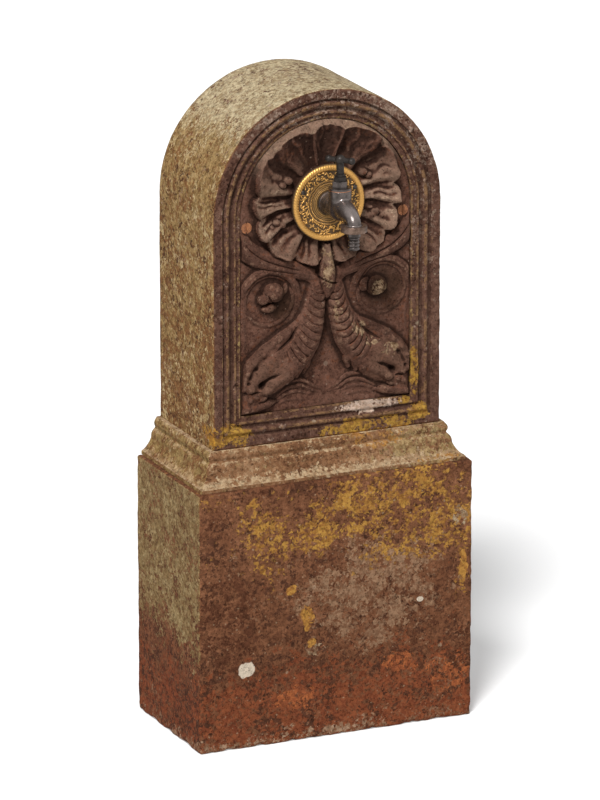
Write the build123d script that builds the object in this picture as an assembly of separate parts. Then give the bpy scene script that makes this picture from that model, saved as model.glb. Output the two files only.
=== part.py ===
from build123d import *

import os
from math import cos, radians, sin

# Garden fountain of hollow iron castings: plinth, moulded cap and round-headed hood, with a relief panel
# in the hood's front and a bib tap fed by a rising pipe inside. All sizes are in millimetres.
# The origin is the middle of the plinth's foot, +Z is up and the front faces -Y.

# Plinth
PLINTH_WIDTH = 446.0
PLINTH_DEPTH = 234.0
PLINTH_HEIGHT = 402.0
PLINTH_ARRIS = 4.0
PLINTH_WALL = 12.0
FOOT_FLANGE_WIDTH = 40.0
FOOT_FLANGE_THICKNESS = 12.0
FOOT_HOLE_RADIUS = 7.0
TOP_PLATE_THICKNESS = 12.0

# Moulded cap, its members from the plinth upwards
CAP_LEDGE = 7.5
CAP_FILLET_HEIGHT = 5.6
CAP_FILLET_STEP = 2.0
CAP_COVE_WIDTH = 13.7
CAP_COVE_HEIGHT = 19.4
CAP_COVE_SAG = 1.4
CAP_ROUND_WIDTH = 6.3
CAP_ROUND_HEIGHT = 13.5
CAP_ROUND_BULGE = 2.0
CAP_QUIRK_HEIGHT = 2.0
CAP_BEAD_HEIGHT = 10.5
CAP_BEAD_BULGE = 1.6
CAP_WASH_WIDTH = 3.0
CAP_WASH_HEIGHT = 4.0
CAP_PLATE_THICKNESS = 12.0
CAP_WALL = 14.0
CAP_BOSS_RADIUS = 16.0

# Hood
HOOD_SIDE_MARGIN = 6.5
HOOD_FRONT_MARGIN = 1.5
HOOD_STILE_HEIGHT = 346.0
HOOD_WALL = 11.0
HOOD_ARRIS = 3.0
HOOD_FLANGE_WIDTH = 32.0
HOOD_FLANGE_THICKNESS = 12.0

# Frame round the hood's front, its members from the outside edge inwards
FRAME_FLAT = 15.5
FRAME_QUIRK_WIDTH = 3.5
FRAME_QUIRK_DEPTH = 4.0
FRAME_BEAD_WIDTH = 9.0
FRAME_BEAD_SINK = 0.5
FRAME_HOLLOW_WIDTH = 6.5
FRAME_HOLLOW_DEPTH = 2.5
FRAME_FILLET_WIDTH = 3.5
FRAME_FILLET_DEPTH = 3.0
FRAME_STEP_WIDTH = 8.0
FRAME_STEP_DEPTH = 6.5

# Relief panel and the lip it lies on
PANEL_RECESS = 10.0
PANEL_THICKNESS = 10.0
PANEL_GAP = 1.0
LIP_WIDTH = 22.0
LIP_THICKNESS = 12.0
PANEL_SCREW_EDGE = 11.0
PANEL_SCREW_DROP = 15.0
PANEL_SCREW_RADIUS = 4.0
PANEL_SCREW_HEAD_RADIUS = 8.2
PANEL_SCREW_HEAD_HEIGHT = 4.2
PANEL_SCREW_LENGTH = 20.0
PANEL_SCREW_SLOT_WIDTH = 1.8
PANEL_SCREW_SLOT_DEPTH = 1.4

# Relief
SHELL_RADIUS = 114.0
SHELL_ROOT_RADIUS = 44.0
SHELL_RIM_HEIGHT = 14.0
SHELL_ROOT_HEIGHT = 8.0
# Edges between the shell's lobes, in degrees from its top down each side to the gap for the bud
SHELL_LOBE_EDGES = (15, 49, 80, 98, 119, 147, 174)
# Below this angle from the top the lobes grow shorter, by this much at the foot
SHELL_SHORTENS_FROM = 105.0
SHELL_SHORTENS_BY = 24.0
SHELL_BOSS_RADIUS = 54.0
SHELL_BOSS_HEIGHT = 10.0
RELIEF_ROOT = 3.0
DOLPHIN_GIRTH = 32.0
DOLPHIN_HEIGHT = 18.0
RIBBON_WIDTH = 9.0
RIBBON_HEIGHT = 7.0
VOLUTE_SPACING = 175.0
VOLUTE_DROP = 24.0
VOLUTE_RADIUS = 36.0
VOLUTE_CORD_RADIUS = 4.0
KNOB_RADIUS = 19.0
KNOB_SINK = 4.0
BUD_RADIUS = 14.0
BUD_HEIGHT = 17.0
# Along each limb: share of the panel's half width, of the height below the shell and of the girth
DOLPHIN_STATIONS = (
    (0.095, 0.96, 0.33),
    (0.124, 0.81, 0.45),
    (0.19, 0.66, 0.7),
    (0.31, 0.515, 0.88),
    (0.47, 0.4, 1),
    (0.64, 0.31, 1),
    (0.79, 0.22, 0.85),
    (0.89, 0.12, 0.55),
    (0.95, 0.035, 0.27),
)
RIBBON_STATIONS = ((0.07, 1.01, 1), (0.26, 1.07, 1), (0.48, 1.12, 1), (0.7, 1.18, 0.9), (0.9, 1.28, 0.6))
BUD_STATIONS = ((0, 1.2, 0.5), (0, 1.1, 0.8), (0, 1.0, 1), (0, 0.92, 0.85), (0, 0.85, 0.4))

# Escutcheon
ESCUTCHEON_RADIUS = 58.0
ESCUTCHEON_RIM_WIDTH = 7.5
ESCUTCHEON_RIM_HEIGHT = 6.7
ESCUTCHEON_PLATE = 3.0
ESCUTCHEON_RING_OUTER = 33.0
ESCUTCHEON_RING_INNER = 27.0
ESCUTCHEON_RING_HEIGHT = 1.5
ESCUTCHEON_SCREW_ACROSS = 83.0
ESCUTCHEON_SCREW_RISE = 19.5
ESCUTCHEON_SCREW_RADIUS = 1.8
ESCUTCHEON_SCREW_HEAD_RADIUS = 3.4
ESCUTCHEON_SCREW_HEAD_HEIGHT = 2.4
ESCUTCHEON_SCREW_LENGTH = 12.0

# Tap body
INLET_RISE = 13.0
SHANK_RADIUS = 10.45
SHANK_LENGTH = 52.0
WATERWAY_RADIUS = 5.5
SEAT_BORE_RADIUS = 5.0
LINK_RADIUS = 4.5
BARREL_RADIUS = 15.5
SHOULDER_RADIUS = 17.5
SHOULDER_LENGTH = 4.0
BONNET_REACH = 40.0
CHAMBER_RADIUS = 17.0
GLOBE_RADIUS = 17.7
CHAMBER_BORE_RADIUS = 11.0
CHAMBER_RISE = 29.0
SEAT_RISE = 3.0
SEAT_RADIUS = 7.5
SEAT_HEIGHT = 2.0
SPOUT_REACH = 48.0
SPOUT_ROOT_RADIUS = 16.3
SPOUT_NECK_RADIUS = 10.5
OUTLET_THREAD_RADIUS = 13.2
OUTLET_THREAD_LENGTH = 5.0
OUTLET_DROP = 12.5
SPOUT_BORE_RADIUS = 6.5
OUTLET_BORE_RADIUS = 7.5
# Along the spout: share of its reach, share of its drop, tilt below level and share of its taper
SPOUT_STATIONS = (
    (0, 0, 0, 0),
    (0.4, 0.03, 12, 0.25),
    (0.72, 0.22, 38, 0.6),
    (0.94, 0.5, 68, 0.9),
    (1, 1, 90, 1),
)

# Head of the tap
BONNET_THREAD_RADIUS = 13.0
BONNET_SPIGOT = 9.0
BONNET_WASHER_THICKNESS = 1.0
BONNET_FLANGE_RADIUS = 17.0
BONNET_FLANGE_THICKNESS = 3.0
BONNET_HEX_ACROSS_FLATS = 21.0
BONNET_HEX_HEIGHT = 10.0
BONNET_THROAT = 3.0
STUFFING_RADIUS = 6.5
STUFFING_DEPTH = 5.0
PACKING_HEIGHT = 4.5
GLAND_HEX_ACROSS_FLATS = 17.0
GLAND_HEX_HEIGHT = 6.5
GLAND_COLLAR_RADIUS = 6.3
GLAND_COLLAR_HEIGHT = 4.0
SPINDLE_RADIUS = 4.0
SPINDLE_THREAD_RADIUS = 6.5
SPINDLE_RISE = 6.25
SPINDLE_STOP_GAP = 1.5
HANDLE_NECK_RADIUS = 4.7
HANDLE_NECK_HEIGHT = 13.0
HANDLE_BORE_RADIUS = 3.0
HANDLE_HUB_RADIUS = 6.9
HANDLE_BAR_LENGTH = 46.0
HANDLE_BAR_RADIUS = 3.2
HANDLE_BALL_RADIUS = 4.5
HANDLE_TURN = -51.0
HANDLE_GAP = 0.6
HANDLE_PIN_RADIUS = 1.2
HANDLE_PIN_RISE = 6.0

# Valve under the spindle
JUMPER_PLATE_RADIUS = 8.5
JUMPER_PLATE_THICKNESS = 2.5
JUMPER_STEM_RADIUS = 3.0
JUMPER_STEM_LENGTH = 10.0
JUMPER_WASHER_RADIUS = 8.0
JUMPER_WASHER_THICKNESS = 3.5
JUMPER_STUD_RADIUS = 1.6
JUMPER_STUD_LENGTH = 6.5
JUMPER_NUT_ACROSS_FLATS = 6.0
JUMPER_NUT_HEIGHT = 2.4

# Hose union
UNION_NUT_RADIUS = 19.5
UNION_NUT_HEIGHT = 9.5
UNION_NUT_FLOOR = 2.0
UNION_NUT_ARRIS = 0.8
UNION_WASHER_THICKNESS = 1.2
TAIL_FLANGE_RADIUS = 12.4
TAIL_FLANGE_THICKNESS = 1.2
TAIL_COLLAR_RADIUS = 10.0
TAIL_COLLAR_HEIGHT = 7.0
TAIL_BORE_RADIUS = 5.0
TAIL_LAND_RADIUS = 8.4
TAIL_GROOVE_RADIUS = 7.0
TAIL_RIBS = 4
TAIL_RIB_PITCH = 5.2
TAIL_LAND_LENGTH = 2.0

# Pipework behind the panel
BACK_WASHER_RADIUS = 18.0
BACK_WASHER_THICKNESS = 2.0
BACK_NUT_ACROSS_FLATS = 30.0
BACK_NUT_HEIGHT = 8.0
ELBOW_RADIUS = 14.5
ELBOW_SOCKET_DEPTH = 13.0
ELBOW_REACH = 27.0
ELBOW_GAP = 3.0
PIPE_RADIUS = 10.65
PIPE_BORE_RADIUS = 8.0
SOCKET_RADIUS = 14.0
SOCKET_LENGTH = 36.0
SOCKET_THREAD_RADIUS = 9.3
SOCKET_STOP = 2.0
SOCKET_FLOOR_GAP = 16.0
BUSH_RADIUS = 15.0
BUSH_FLANGE_RADIUS = 19.0
BUSH_FLANGE_THICKNESS = 2.5
EYE_PLATE_MARGIN = 14.0

# Bolts that tie hood, cap and plinth together
TIE_BOLT_RADIUS = 5.0
TIE_BOLT_INSET = 27.0
TIE_BOLT_FRONT_GAP = 22.0
TIE_HEAD_ACROSS_FLATS = 16.0
TIE_HEAD_HEIGHT = 6.4
TIE_NUT_HEIGHT = 8.0
TIE_WASHER_RADIUS = 10.0
TIE_WASHER_THICKNESS = 2.0
TIE_BOLT_TAIL = 3.0

# Clearances
THREAD_CLEARANCE = 0.06
SLIDE_CLEARANCE = 0.08
SEAT_CLEARANCE = 0.1
HOLE_CLEARANCE = 0.5
SNUG_CLEARANCE = 0.03
CUT_MARGIN = 2.0

# Places that follow from the sizes above
PLINTH_FRONT = -PLINTH_DEPTH / 2
BACK = PLINTH_DEPTH / 2
CAP_TOP_INSET = (
    CAP_LEDGE + CAP_FILLET_STEP + CAP_COVE_WIDTH + CAP_ROUND_WIDTH + CAP_WASH_WIDTH
)
CAP_FOOT = PLINTH_HEIGHT
HOOD_FOOT = (
    CAP_FOOT
    + CAP_FILLET_HEIGHT
    + CAP_COVE_HEIGHT
    + CAP_ROUND_HEIGHT
    + CAP_QUIRK_HEIGHT
    + CAP_BEAD_HEIGHT
    + CAP_WASH_HEIGHT
)
HOOD_HALF = PLINTH_WIDTH / 2 - CAP_TOP_INSET - HOOD_SIDE_MARGIN
HOOD_FRONT = PLINTH_FRONT + CAP_TOP_INSET + HOOD_FRONT_MARGIN
SPRING = HOOD_FOOT + HOOD_STILE_HEIGHT
FRAME_WIDTH = (
    FRAME_FLAT
    + FRAME_QUIRK_WIDTH
    + FRAME_BEAD_WIDTH
    + FRAME_HOLLOW_WIDTH
    + FRAME_FILLET_WIDTH
    + FRAME_STEP_WIDTH
)
OPENING_HALF = HOOD_HALF - FRAME_WIDTH
OPENING_FOOT = HOOD_FOOT + FRAME_WIDTH
PANEL_HALF = OPENING_HALF - PANEL_GAP
PANEL_FOOT = OPENING_FOOT + PANEL_GAP
PANEL_FACE = HOOD_FRONT + PANEL_RECESS
PANEL_BACK = PANEL_FACE + PANEL_THICKNESS
LIP_BACK = PANEL_BACK + LIP_THICKNESS
PANEL_SCREW_X = PANEL_HALF - PANEL_SCREW_EDGE
PANEL_SCREW_Z = SPRING - PANEL_SCREW_DROP
INLET_Z = SPRING + INLET_RISE
BOSS_FACE = PANEL_FACE - SHELL_BOSS_HEIGHT
SHELL_FOOT = INLET_Z - SHELL_RADIUS
TAP_SEAT = BOSS_FACE - ESCUTCHEON_PLATE
BONNET_Y = TAP_SEAT - BONNET_REACH
OUTLET_Y = BONNET_Y - SPOUT_REACH
CORE_HALF = HOOD_HALF - HOOD_WALL - HOOD_FLANGE_WIDTH
CORE_BACK = BACK - HOOD_WALL - HOOD_FLANGE_WIDTH
CAP_PLATE_FOOT = HOOD_FOOT - CAP_PLATE_THICKNESS
SHANK_END = TAP_SEAT + SHANK_LENGTH
ELBOW_FACE = PANEL_BACK + BACK_WASHER_THICKNESS + BACK_NUT_HEIGHT + ELBOW_GAP
PIPE_Y = ELBOW_FACE + ELBOW_REACH
PIPE_TOP = INLET_Z - ELBOW_REACH + ELBOW_SOCKET_DEPTH
CORE_FRONT = PIPE_Y + BUSH_RADIUS + EYE_PLATE_MARGIN
PLINTH_CORE_FRONT = PIPE_Y - BUSH_FLANGE_RADIUS - EYE_PLATE_MARGIN
TIE_X = HOOD_HALF - TIE_BOLT_INSET
TIE_YS = (LIP_BACK + TIE_BOLT_FRONT_GAP, BACK - TIE_BOLT_INSET)
TIE_PLACES = [(side * TIE_X, y) for side in (-1, 1) for y in TIE_YS]

# Levels up the tap's head
CHAMBER_RIM = INLET_Z + CHAMBER_RISE
BONNET_FOOT = CHAMBER_RIM + BONNET_WASHER_THICKNESS
BONNET_SHOULDER = BONNET_FOOT + BONNET_FLANGE_THICKNESS
BONNET_TOP = BONNET_SHOULDER + BONNET_HEX_HEIGHT
SPIGOT_FOOT = CHAMBER_RIM - BONNET_SPIGOT
THROAT_TOP = BONNET_TOP - STUFFING_DEPTH
THROAT_FOOT = THROAT_TOP - BONNET_THROAT
GLAND_TOP = BONNET_TOP + GLAND_HEX_HEIGHT + GLAND_COLLAR_HEIGHT
HANDLE_FOOT = GLAND_TOP + HANDLE_GAP
HUB_Z = HANDLE_FOOT + HANDLE_NECK_HEIGHT + HANDLE_HUB_RADIUS
SEAT_TOP = INLET_Z + SEAT_RISE
JUMPER_FOOT = SEAT_TOP + SEAT_CLEARANCE
PLATE_FOOT = JUMPER_FOOT + JUMPER_WASHER_THICKNESS
PLATE_TOP = PLATE_FOOT + JUMPER_PLATE_THICKNESS
SPINDLE_FOOT = PLATE_TOP + SEAT_CLEARANCE
SPINDLE_SHOULDER = THROAT_FOOT - SPINDLE_STOP_GAP - SPINDLE_RISE

# Levels down the hose union
OUTLET_FOOT = INLET_Z - OUTLET_DROP - OUTLET_THREAD_LENGTH
UNION_WASHER_TOP = OUTLET_FOOT - SEAT_CLEARANCE
TAIL_FLANGE_TOP = UNION_WASHER_TOP - UNION_WASHER_THICKNESS
TAIL_FLANGE_FOOT = TAIL_FLANGE_TOP - TAIL_FLANGE_THICKNESS
NUT_FLOOR_TOP = TAIL_FLANGE_FOOT - SEAT_CLEARANCE
NUT_FOOT = NUT_FLOOR_TOP - UNION_NUT_FLOOR
TAIL_COLLAR_FOOT = NUT_FOOT - TAIL_COLLAR_HEIGHT
TAIL_FOOT = TAIL_COLLAR_FOOT - TAIL_RIBS * TAIL_RIB_PITCH


def block(x0, x1, y0, y1, z0, z1):
    """Box between two corners."""
    middle = Pos((x0 + x1) / 2, (y0 + y1) / 2, (z0 + z1) / 2)
    return middle * Box(x1 - x0, y1 - y0, z1 - z0)


def post(y, z0, z1, radius, x=0.0):
    """Upright cylinder."""
    return Pos(x, y, (z0 + z1) / 2) * Cylinder(radius, z1 - z0)


def rod(z, y0, y1, radius, x=0.0):
    """Cylinder that lies along Y."""
    return Pos(x, (y0 + y1) / 2, z) * Rot(90, 0, 0) * Cylinder(radius, y1 - y0)


def hex_post(y, z0, z1, across_flats):
    """Upright hexagon prism."""
    outline = Pos(0, y, z0) * RegularPolygon(across_flats / 2, 6, major_radius=False)
    return extrude(outline, z1 - z0)


def arch(half_width, foot, y0, y1):
    """Round-headed slab that springs at the hood's springing line."""
    outline = [
        Line((-half_width, y0, foot), (half_width, y0, foot)),
        Line((half_width, y0, foot), (half_width, y0, SPRING)),
        ThreePointArc((half_width, y0, SPRING), (0, y0, SPRING + half_width), (-half_width, y0, SPRING)),
        Line((-half_width, y0, SPRING), (-half_width, y0, foot)),
    ]
    return extrude(make_face(outline), y1 - y0, dir=(0, 1, 0))


def relief_body(stations):
    """Smooth swelling body through ellipses that stand on the panel's face.

    Each station is a place, a direction along the face, a half width and a height.
    """
    sections = []
    for place, direction, half_width, height in stations:
        along = Vector(*direction)
        plane = Plane(origin=place, x_dir=along.cross(Vector(0, 1, 0)), z_dir=along)
        sections.append(plane * Ellipse(half_width, height))
    return loft(sections)


def plinth_casing():
    """Hollow box with a top plate under the cap and a bolting flange round its foot."""
    half = PLINTH_WIDTH / 2
    casing = block(-half, half, PLINTH_FRONT, BACK, 0, PLINTH_HEIGHT)
    arrises = casing.edges().filter_by(Axis.Z) + casing.edges().group_by(Axis.Z)[-1]
    casing = fillet(arrises, PLINTH_ARRIS)
    inner = half - PLINTH_WALL
    inner_front = PLINTH_FRONT + PLINTH_WALL
    inner_back = BACK - PLINTH_WALL
    top = PLINTH_HEIGHT - TOP_PLATE_THICKNESS
    casing -= block(-inner, inner, inner_front, inner_back, FOOT_FLANGE_THICKNESS, top)
    mouth = inner - FOOT_FLANGE_WIDTH
    casing -= block(
        -mouth,
        mouth,
        inner_front + FOOT_FLANGE_WIDTH,
        inner_back - FOOT_FLANGE_WIDTH,
        -CUT_MARGIN,
        FOOT_FLANGE_THICKNESS,
    )
    casing -= block(-CORE_HALF, CORE_HALF, PLINTH_CORE_FRONT, CORE_BACK, top, PLINTH_HEIGHT + CUT_MARGIN)
    hole_x = inner - FOOT_FLANGE_WIDTH / 2
    hole_y = inner_back - FOOT_FLANGE_WIDTH / 2
    for x in (-hole_x, hole_x):
        for y in (-hole_y, hole_y):
            casing -= post(y, -CUT_MARGIN, FOOT_FLANGE_THICKNESS + CUT_MARGIN, FOOT_HOLE_RADIUS, x)
    for x, y in TIE_PLACES:
        hole = TIE_BOLT_RADIUS + HOLE_CLEARANCE
        casing -= post(y, top - CUT_MARGIN, PLINTH_HEIGHT + CUT_MARGIN, hole, x)
    return casing


def cap_profile(place):
    """Edges of the cap's moulding: place turns an inset and a height above the plinth into a point."""
    fillet_in = CAP_LEDGE + CAP_FILLET_STEP
    cove_in = fillet_in + CAP_COVE_WIDTH
    round_in = cove_in + CAP_ROUND_WIDTH
    cove_top = CAP_FILLET_HEIGHT + CAP_COVE_HEIGHT
    round_top = cove_top + CAP_ROUND_HEIGHT
    bead_foot = round_top + CAP_QUIRK_HEIGHT
    bead_top = bead_foot + CAP_BEAD_HEIGHT
    cove_middle = (
        fillet_in + CAP_COVE_WIDTH / 2 + CAP_COVE_SAG,
        CAP_FILLET_HEIGHT + CAP_COVE_HEIGHT / 2 - CAP_COVE_SAG,
    )
    round_middle = (
        cove_in + CAP_ROUND_WIDTH / 2 - CAP_ROUND_BULGE,
        cove_top + CAP_ROUND_HEIGHT / 2 + CAP_ROUND_BULGE / 2,
    )
    bead_middle = (round_in - CAP_BEAD_BULGE, bead_foot + CAP_BEAD_HEIGHT / 2)
    return [
        Line(place(CAP_LEDGE, 0), place(CAP_LEDGE, CAP_FILLET_HEIGHT)),
        Line(place(CAP_LEDGE, CAP_FILLET_HEIGHT), place(fillet_in, CAP_FILLET_HEIGHT)),
        ThreePointArc(place(fillet_in, CAP_FILLET_HEIGHT), place(*cove_middle), place(cove_in, cove_top)),
        ThreePointArc(place(cove_in, cove_top), place(*round_middle), place(round_in, round_top)),
        Line(place(round_in, round_top), place(round_in, bead_foot)),
        ThreePointArc(place(round_in, bead_foot), place(*bead_middle), place(round_in, bead_top)),
        Line(place(round_in, bead_top), place(CAP_TOP_INSET, HOOD_FOOT - CAP_FOOT)),
    ]


def moulded_cap():
    """Moulding on the front and both sides, hollow below a plate that holds the pipe's bush."""
    half = PLINTH_WIDTH / 2
    height = HOOD_FOOT - CAP_FOOT

    def left(inset, rise):
        return (-half + inset, PLINTH_FRONT, CAP_FOOT + rise)

    def right(inset, rise):
        return (half - inset, PLINTH_FRONT, CAP_FOOT + rise)

    def front(inset, rise):
        return (-half, PLINTH_FRONT + inset, CAP_FOOT + rise)

    across = cap_profile(left) + cap_profile(right)
    across.append(Line(left(CAP_TOP_INSET, height), right(CAP_TOP_INSET, height)))
    across.append(Line(left(CAP_LEDGE, 0), right(CAP_LEDGE, 0)))
    back_foot = (-half, BACK, CAP_FOOT)
    back_top = (-half, BACK, HOOD_FOOT)
    along = cap_profile(front)
    along.append(Line(front(CAP_TOP_INSET, height), back_top))
    along.append(Line(back_top, back_foot))
    along.append(Line(back_foot, front(CAP_LEDGE, 0)))
    cap = extrude(make_face(across), PLINTH_DEPTH, dir=(0, 1, 0))
    cap &= extrude(make_face(along), PLINTH_WIDTH, dir=(1, 0, 0))

    inner = half - CAP_TOP_INSET - CAP_WALL
    inner_front = PLINTH_FRONT + CAP_TOP_INSET + CAP_WALL
    cap -= block(-inner, inner, inner_front, BACK - CAP_WALL, CAP_FOOT - CUT_MARGIN, CAP_PLATE_FOOT)
    for x, y in TIE_PLACES:
        cap += post(y, CAP_FOOT, CAP_PLATE_FOOT + CUT_MARGIN, CAP_BOSS_RADIUS, x)
    for x, y in TIE_PLACES:
        cap -= post(y, CAP_FOOT - CUT_MARGIN, HOOD_FOOT + CUT_MARGIN, TIE_BOLT_RADIUS + HOLE_CLEARANCE, x)
    plate_cut = (CAP_PLATE_FOOT - CUT_MARGIN, HOOD_FOOT + CUT_MARGIN)
    cap -= block(-CORE_HALF, CORE_HALF, CORE_FRONT, CORE_BACK, *plate_cut)
    cap -= post(PIPE_Y, *plate_cut, BUSH_RADIUS + SNUG_CLEARANCE)
    return cap


def frame_profile(place):
    """Edges round the metal cut from the flat front: place turns an inset and a depth into a point."""
    quirk_in = FRAME_FLAT + FRAME_QUIRK_WIDTH
    bead_in = quirk_in + FRAME_BEAD_WIDTH
    hollow_in = bead_in + FRAME_HOLLOW_WIDTH
    fillet_in = hollow_in + FRAME_FILLET_WIDTH
    quirk = FRAME_QUIRK_DEPTH
    bead_crest = place(quirk_in + FRAME_BEAD_WIDTH / 2, FRAME_BEAD_SINK)
    hollow_floor = place(bead_in + FRAME_HOLLOW_WIDTH / 2, quirk + FRAME_HOLLOW_DEPTH)
    return [
        Line(place(FRAME_FLAT, -CUT_MARGIN), place(FRAME_FLAT, quirk)),
        Line(place(FRAME_FLAT, quirk), place(quirk_in, quirk)),
        ThreePointArc(place(quirk_in, quirk), bead_crest, place(bead_in, quirk)),
        ThreePointArc(place(bead_in, quirk), hollow_floor, place(hollow_in, quirk)),
        Line(place(hollow_in, quirk), place(hollow_in, FRAME_FILLET_DEPTH)),
        Line(place(hollow_in, FRAME_FILLET_DEPTH), place(fillet_in, FRAME_FILLET_DEPTH)),
        Line(place(fillet_in, FRAME_FILLET_DEPTH), place(fillet_in, FRAME_STEP_DEPTH)),
        Line(place(fillet_in, FRAME_STEP_DEPTH), place(FRAME_WIDTH, FRAME_STEP_DEPTH)),
        Line(place(FRAME_WIDTH, FRAME_STEP_DEPTH), place(FRAME_WIDTH, -CUT_MARGIN)),
        Line(place(FRAME_WIDTH, -CUT_MARGIN), place(FRAME_FLAT, -CUT_MARGIN)),
    ]


def frame_cutters():
    """What the mouldings take from the front: arch, two stiles and rail, mitred at the lower corners."""

    def on_stile(inset, depth):
        return (HOOD_HALF - inset, HOOD_FRONT + depth, SPRING)

    def on_rail(inset, depth):
        return (-HOOD_HALF, HOOD_FRONT + depth, HOOD_FOOT + inset)

    section = make_face(frame_profile(on_stile))
    head = revolve(section, Axis((0, 0, SPRING), (0, -1, 0)), 180)
    stile = extrude(section, SPRING - HOOD_FOOT, dir=(0, 0, -1))
    rail = extrude(make_face(frame_profile(on_rail)), 2 * HOOD_HALF, dir=(1, 0, 0))
    near = HOOD_FRONT - 2 * CUT_MARGIN
    corner = (HOOD_HALF, near, HOOD_FOOT)
    mitre = (OPENING_HALF, near, OPENING_FOOT)
    stile_side = [corner, (HOOD_HALF, near, SPRING), (OPENING_HALF, near, SPRING), mitre]
    rail_side = [corner, mitre, (-OPENING_HALF, near, OPENING_FOOT), (-HOOD_HALF, near, HOOD_FOOT)]
    reach = PANEL_RECESS + 2 * CUT_MARGIN
    stile &= extrude(make_face(Polyline(*stile_side, close=True)), reach, dir=(0, 1, 0))
    rail &= extrude(make_face(Polyline(*rail_side, close=True)), reach, dir=(0, 1, 0))
    return [head, stile, mirror(stile, about=Plane.YZ), rail]


def hood_casing():
    """Round-headed shell with a closed back, a moulded frame, a lip behind the panel and a foot flange."""
    hood = arch(HOOD_HALF, HOOD_FOOT, HOOD_FRONT, BACK)
    front_edges = hood.edges().group_by(Axis.Y)[0]
    hood = fillet(front_edges.filter_by(lambda edge: edge.center().Z > HOOD_FOOT + CUT_MARGIN), HOOD_ARRIS)
    flange_top = HOOD_FOOT + HOOD_FLANGE_THICKNESS
    hood -= arch(HOOD_HALF - HOOD_WALL, flange_top, LIP_BACK, BACK - HOOD_WALL)
    hood -= block(-CORE_HALF, CORE_HALF, LIP_BACK, CORE_BACK, HOOD_FOOT - CUT_MARGIN, flange_top)
    hood -= arch(OPENING_HALF, OPENING_FOOT, HOOD_FRONT - CUT_MARGIN, PANEL_BACK)
    hood -= arch(OPENING_HALF - LIP_WIDTH, OPENING_FOOT + LIP_WIDTH, PANEL_BACK, LIP_BACK)
    for cutter in frame_cutters():
        hood -= cutter
    for side in (-1, 1):
        hole = PANEL_SCREW_RADIUS + SNUG_CLEARANCE
        lip_end = LIP_BACK + CUT_MARGIN
        hood -= rod(PANEL_SCREW_Z, PANEL_BACK - CUT_MARGIN, lip_end, hole, side * PANEL_SCREW_X)
    for x, y in TIE_PLACES:
        hole = TIE_BOLT_RADIUS + HOLE_CLEARANCE
        hood -= post(y, HOOD_FOOT - CUT_MARGIN, flange_top + CUT_MARGIN, hole, x)
    return hood


def shell_lobe(from_top, spread):
    """One flute of the shell: a swelling ridge from the root to the rim, spread wide in degrees."""
    out = (sin(radians(from_top)), 0, cos(radians(from_top)))
    low = max(0, abs(from_top) - SHELL_SHORTENS_FROM) / (180 - SHELL_SHORTENS_FROM)
    rim_radius = SHELL_RADIUS - SHELL_SHORTENS_BY * low
    stations = []
    for radius, height in ((SHELL_ROOT_RADIUS, SHELL_ROOT_HEIGHT), (rim_radius, SHELL_RIM_HEIGHT)):
        place = (radius * out[0], PANEL_FACE, INLET_Z + radius * out[2])
        stations.append((place, out, radius * sin(radians(spread / 2)), height))
    return relief_body(stations)


def shell_lobes():
    """A wide lobe at the top and narrower lobes down each side to the gap for the bud."""
    lobes = [shell_lobe(0, 2 * SHELL_LOBE_EDGES[0])]
    for upper, lower in zip(SHELL_LOBE_EDGES, SHELL_LOBE_EDGES[1:]):
        for side in (-1, 1):
            lobes.append(shell_lobe(side * (upper + lower) / 2, lower - upper))
    return lobes


def relief_limb(shares, width, height):
    """Body on the right half of the panel, through stations in shares of the space below the shell."""
    zone = SHELL_FOOT - PANEL_FOOT
    places = [Vector(x * PANEL_HALF, PANEL_FACE, PANEL_FOOT + z * zone) for x, z, _ in shares]
    stations = []
    for i, place in enumerate(places):
        ahead = places[min(i + 1, len(places) - 1)]
        behind = places[max(i - 1, 0)]
        direction = tuple((ahead - behind).normalized())
        girth = shares[i][2]
        stations.append((tuple(place), direction, girth * width, girth * height))
    return relief_body(stations)


def relief_panel():
    """Arched plate with a shell, a bud, two volutes with knobs, two ribbons and two dolphins in relief."""
    dolphin = relief_limb(DOLPHIN_STATIONS, DOLPHIN_GIRTH, DOLPHIN_HEIGHT)
    ribbon = relief_limb(RIBBON_STATIONS, RIBBON_WIDTH, RIBBON_HEIGHT)
    bud = relief_limb(BUD_STATIONS, BUD_RADIUS, BUD_HEIGHT)
    volute = Pos(VOLUTE_SPACING / 2, PANEL_FACE, SHELL_FOOT - VOLUTE_DROP)
    ring = volute * Rot(90, 0, 0) * Torus(VOLUTE_RADIUS, VOLUTE_CORD_RADIUS)
    knob = volute * Pos(0, KNOB_SINK, 0) * Sphere(KNOB_RADIUS)
    right = [dolphin, ribbon, ring, knob]
    left = [mirror(piece, about=Plane.YZ) for piece in right]
    boss = rod(INLET_Z, BOSS_FACE, PANEL_FACE + RELIEF_ROOT, SHELL_BOSS_RADIUS)
    plate = arch(PANEL_HALF, PANEL_FOOT, PANEL_FACE, PANEL_BACK)
    panel = plate + (shell_lobes() + right + left + [bud, boss])
    panel &= arch(PANEL_HALF, PANEL_FOOT, PANEL_FACE - 2 * DOLPHIN_HEIGHT, PANEL_BACK)
    panel -= rod(INLET_Z, BOSS_FACE - CUT_MARGIN, PANEL_BACK + CUT_MARGIN, SHANK_RADIUS + HOLE_CLEARANCE)
    for side in (-1, 1):
        panel -= panel_screw_space(side)
        screw_x = side * ESCUTCHEON_SCREW_ACROSS / 2
        screw_z = INLET_Z + ESCUTCHEON_SCREW_RISE
        depth = BOSS_FACE + ESCUTCHEON_SCREW_LENGTH
        hole = ESCUTCHEON_SCREW_RADIUS + SNUG_CLEARANCE
        panel -= rod(screw_z, BOSS_FACE - CUT_MARGIN, depth, hole, screw_x)
    return panel


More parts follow.
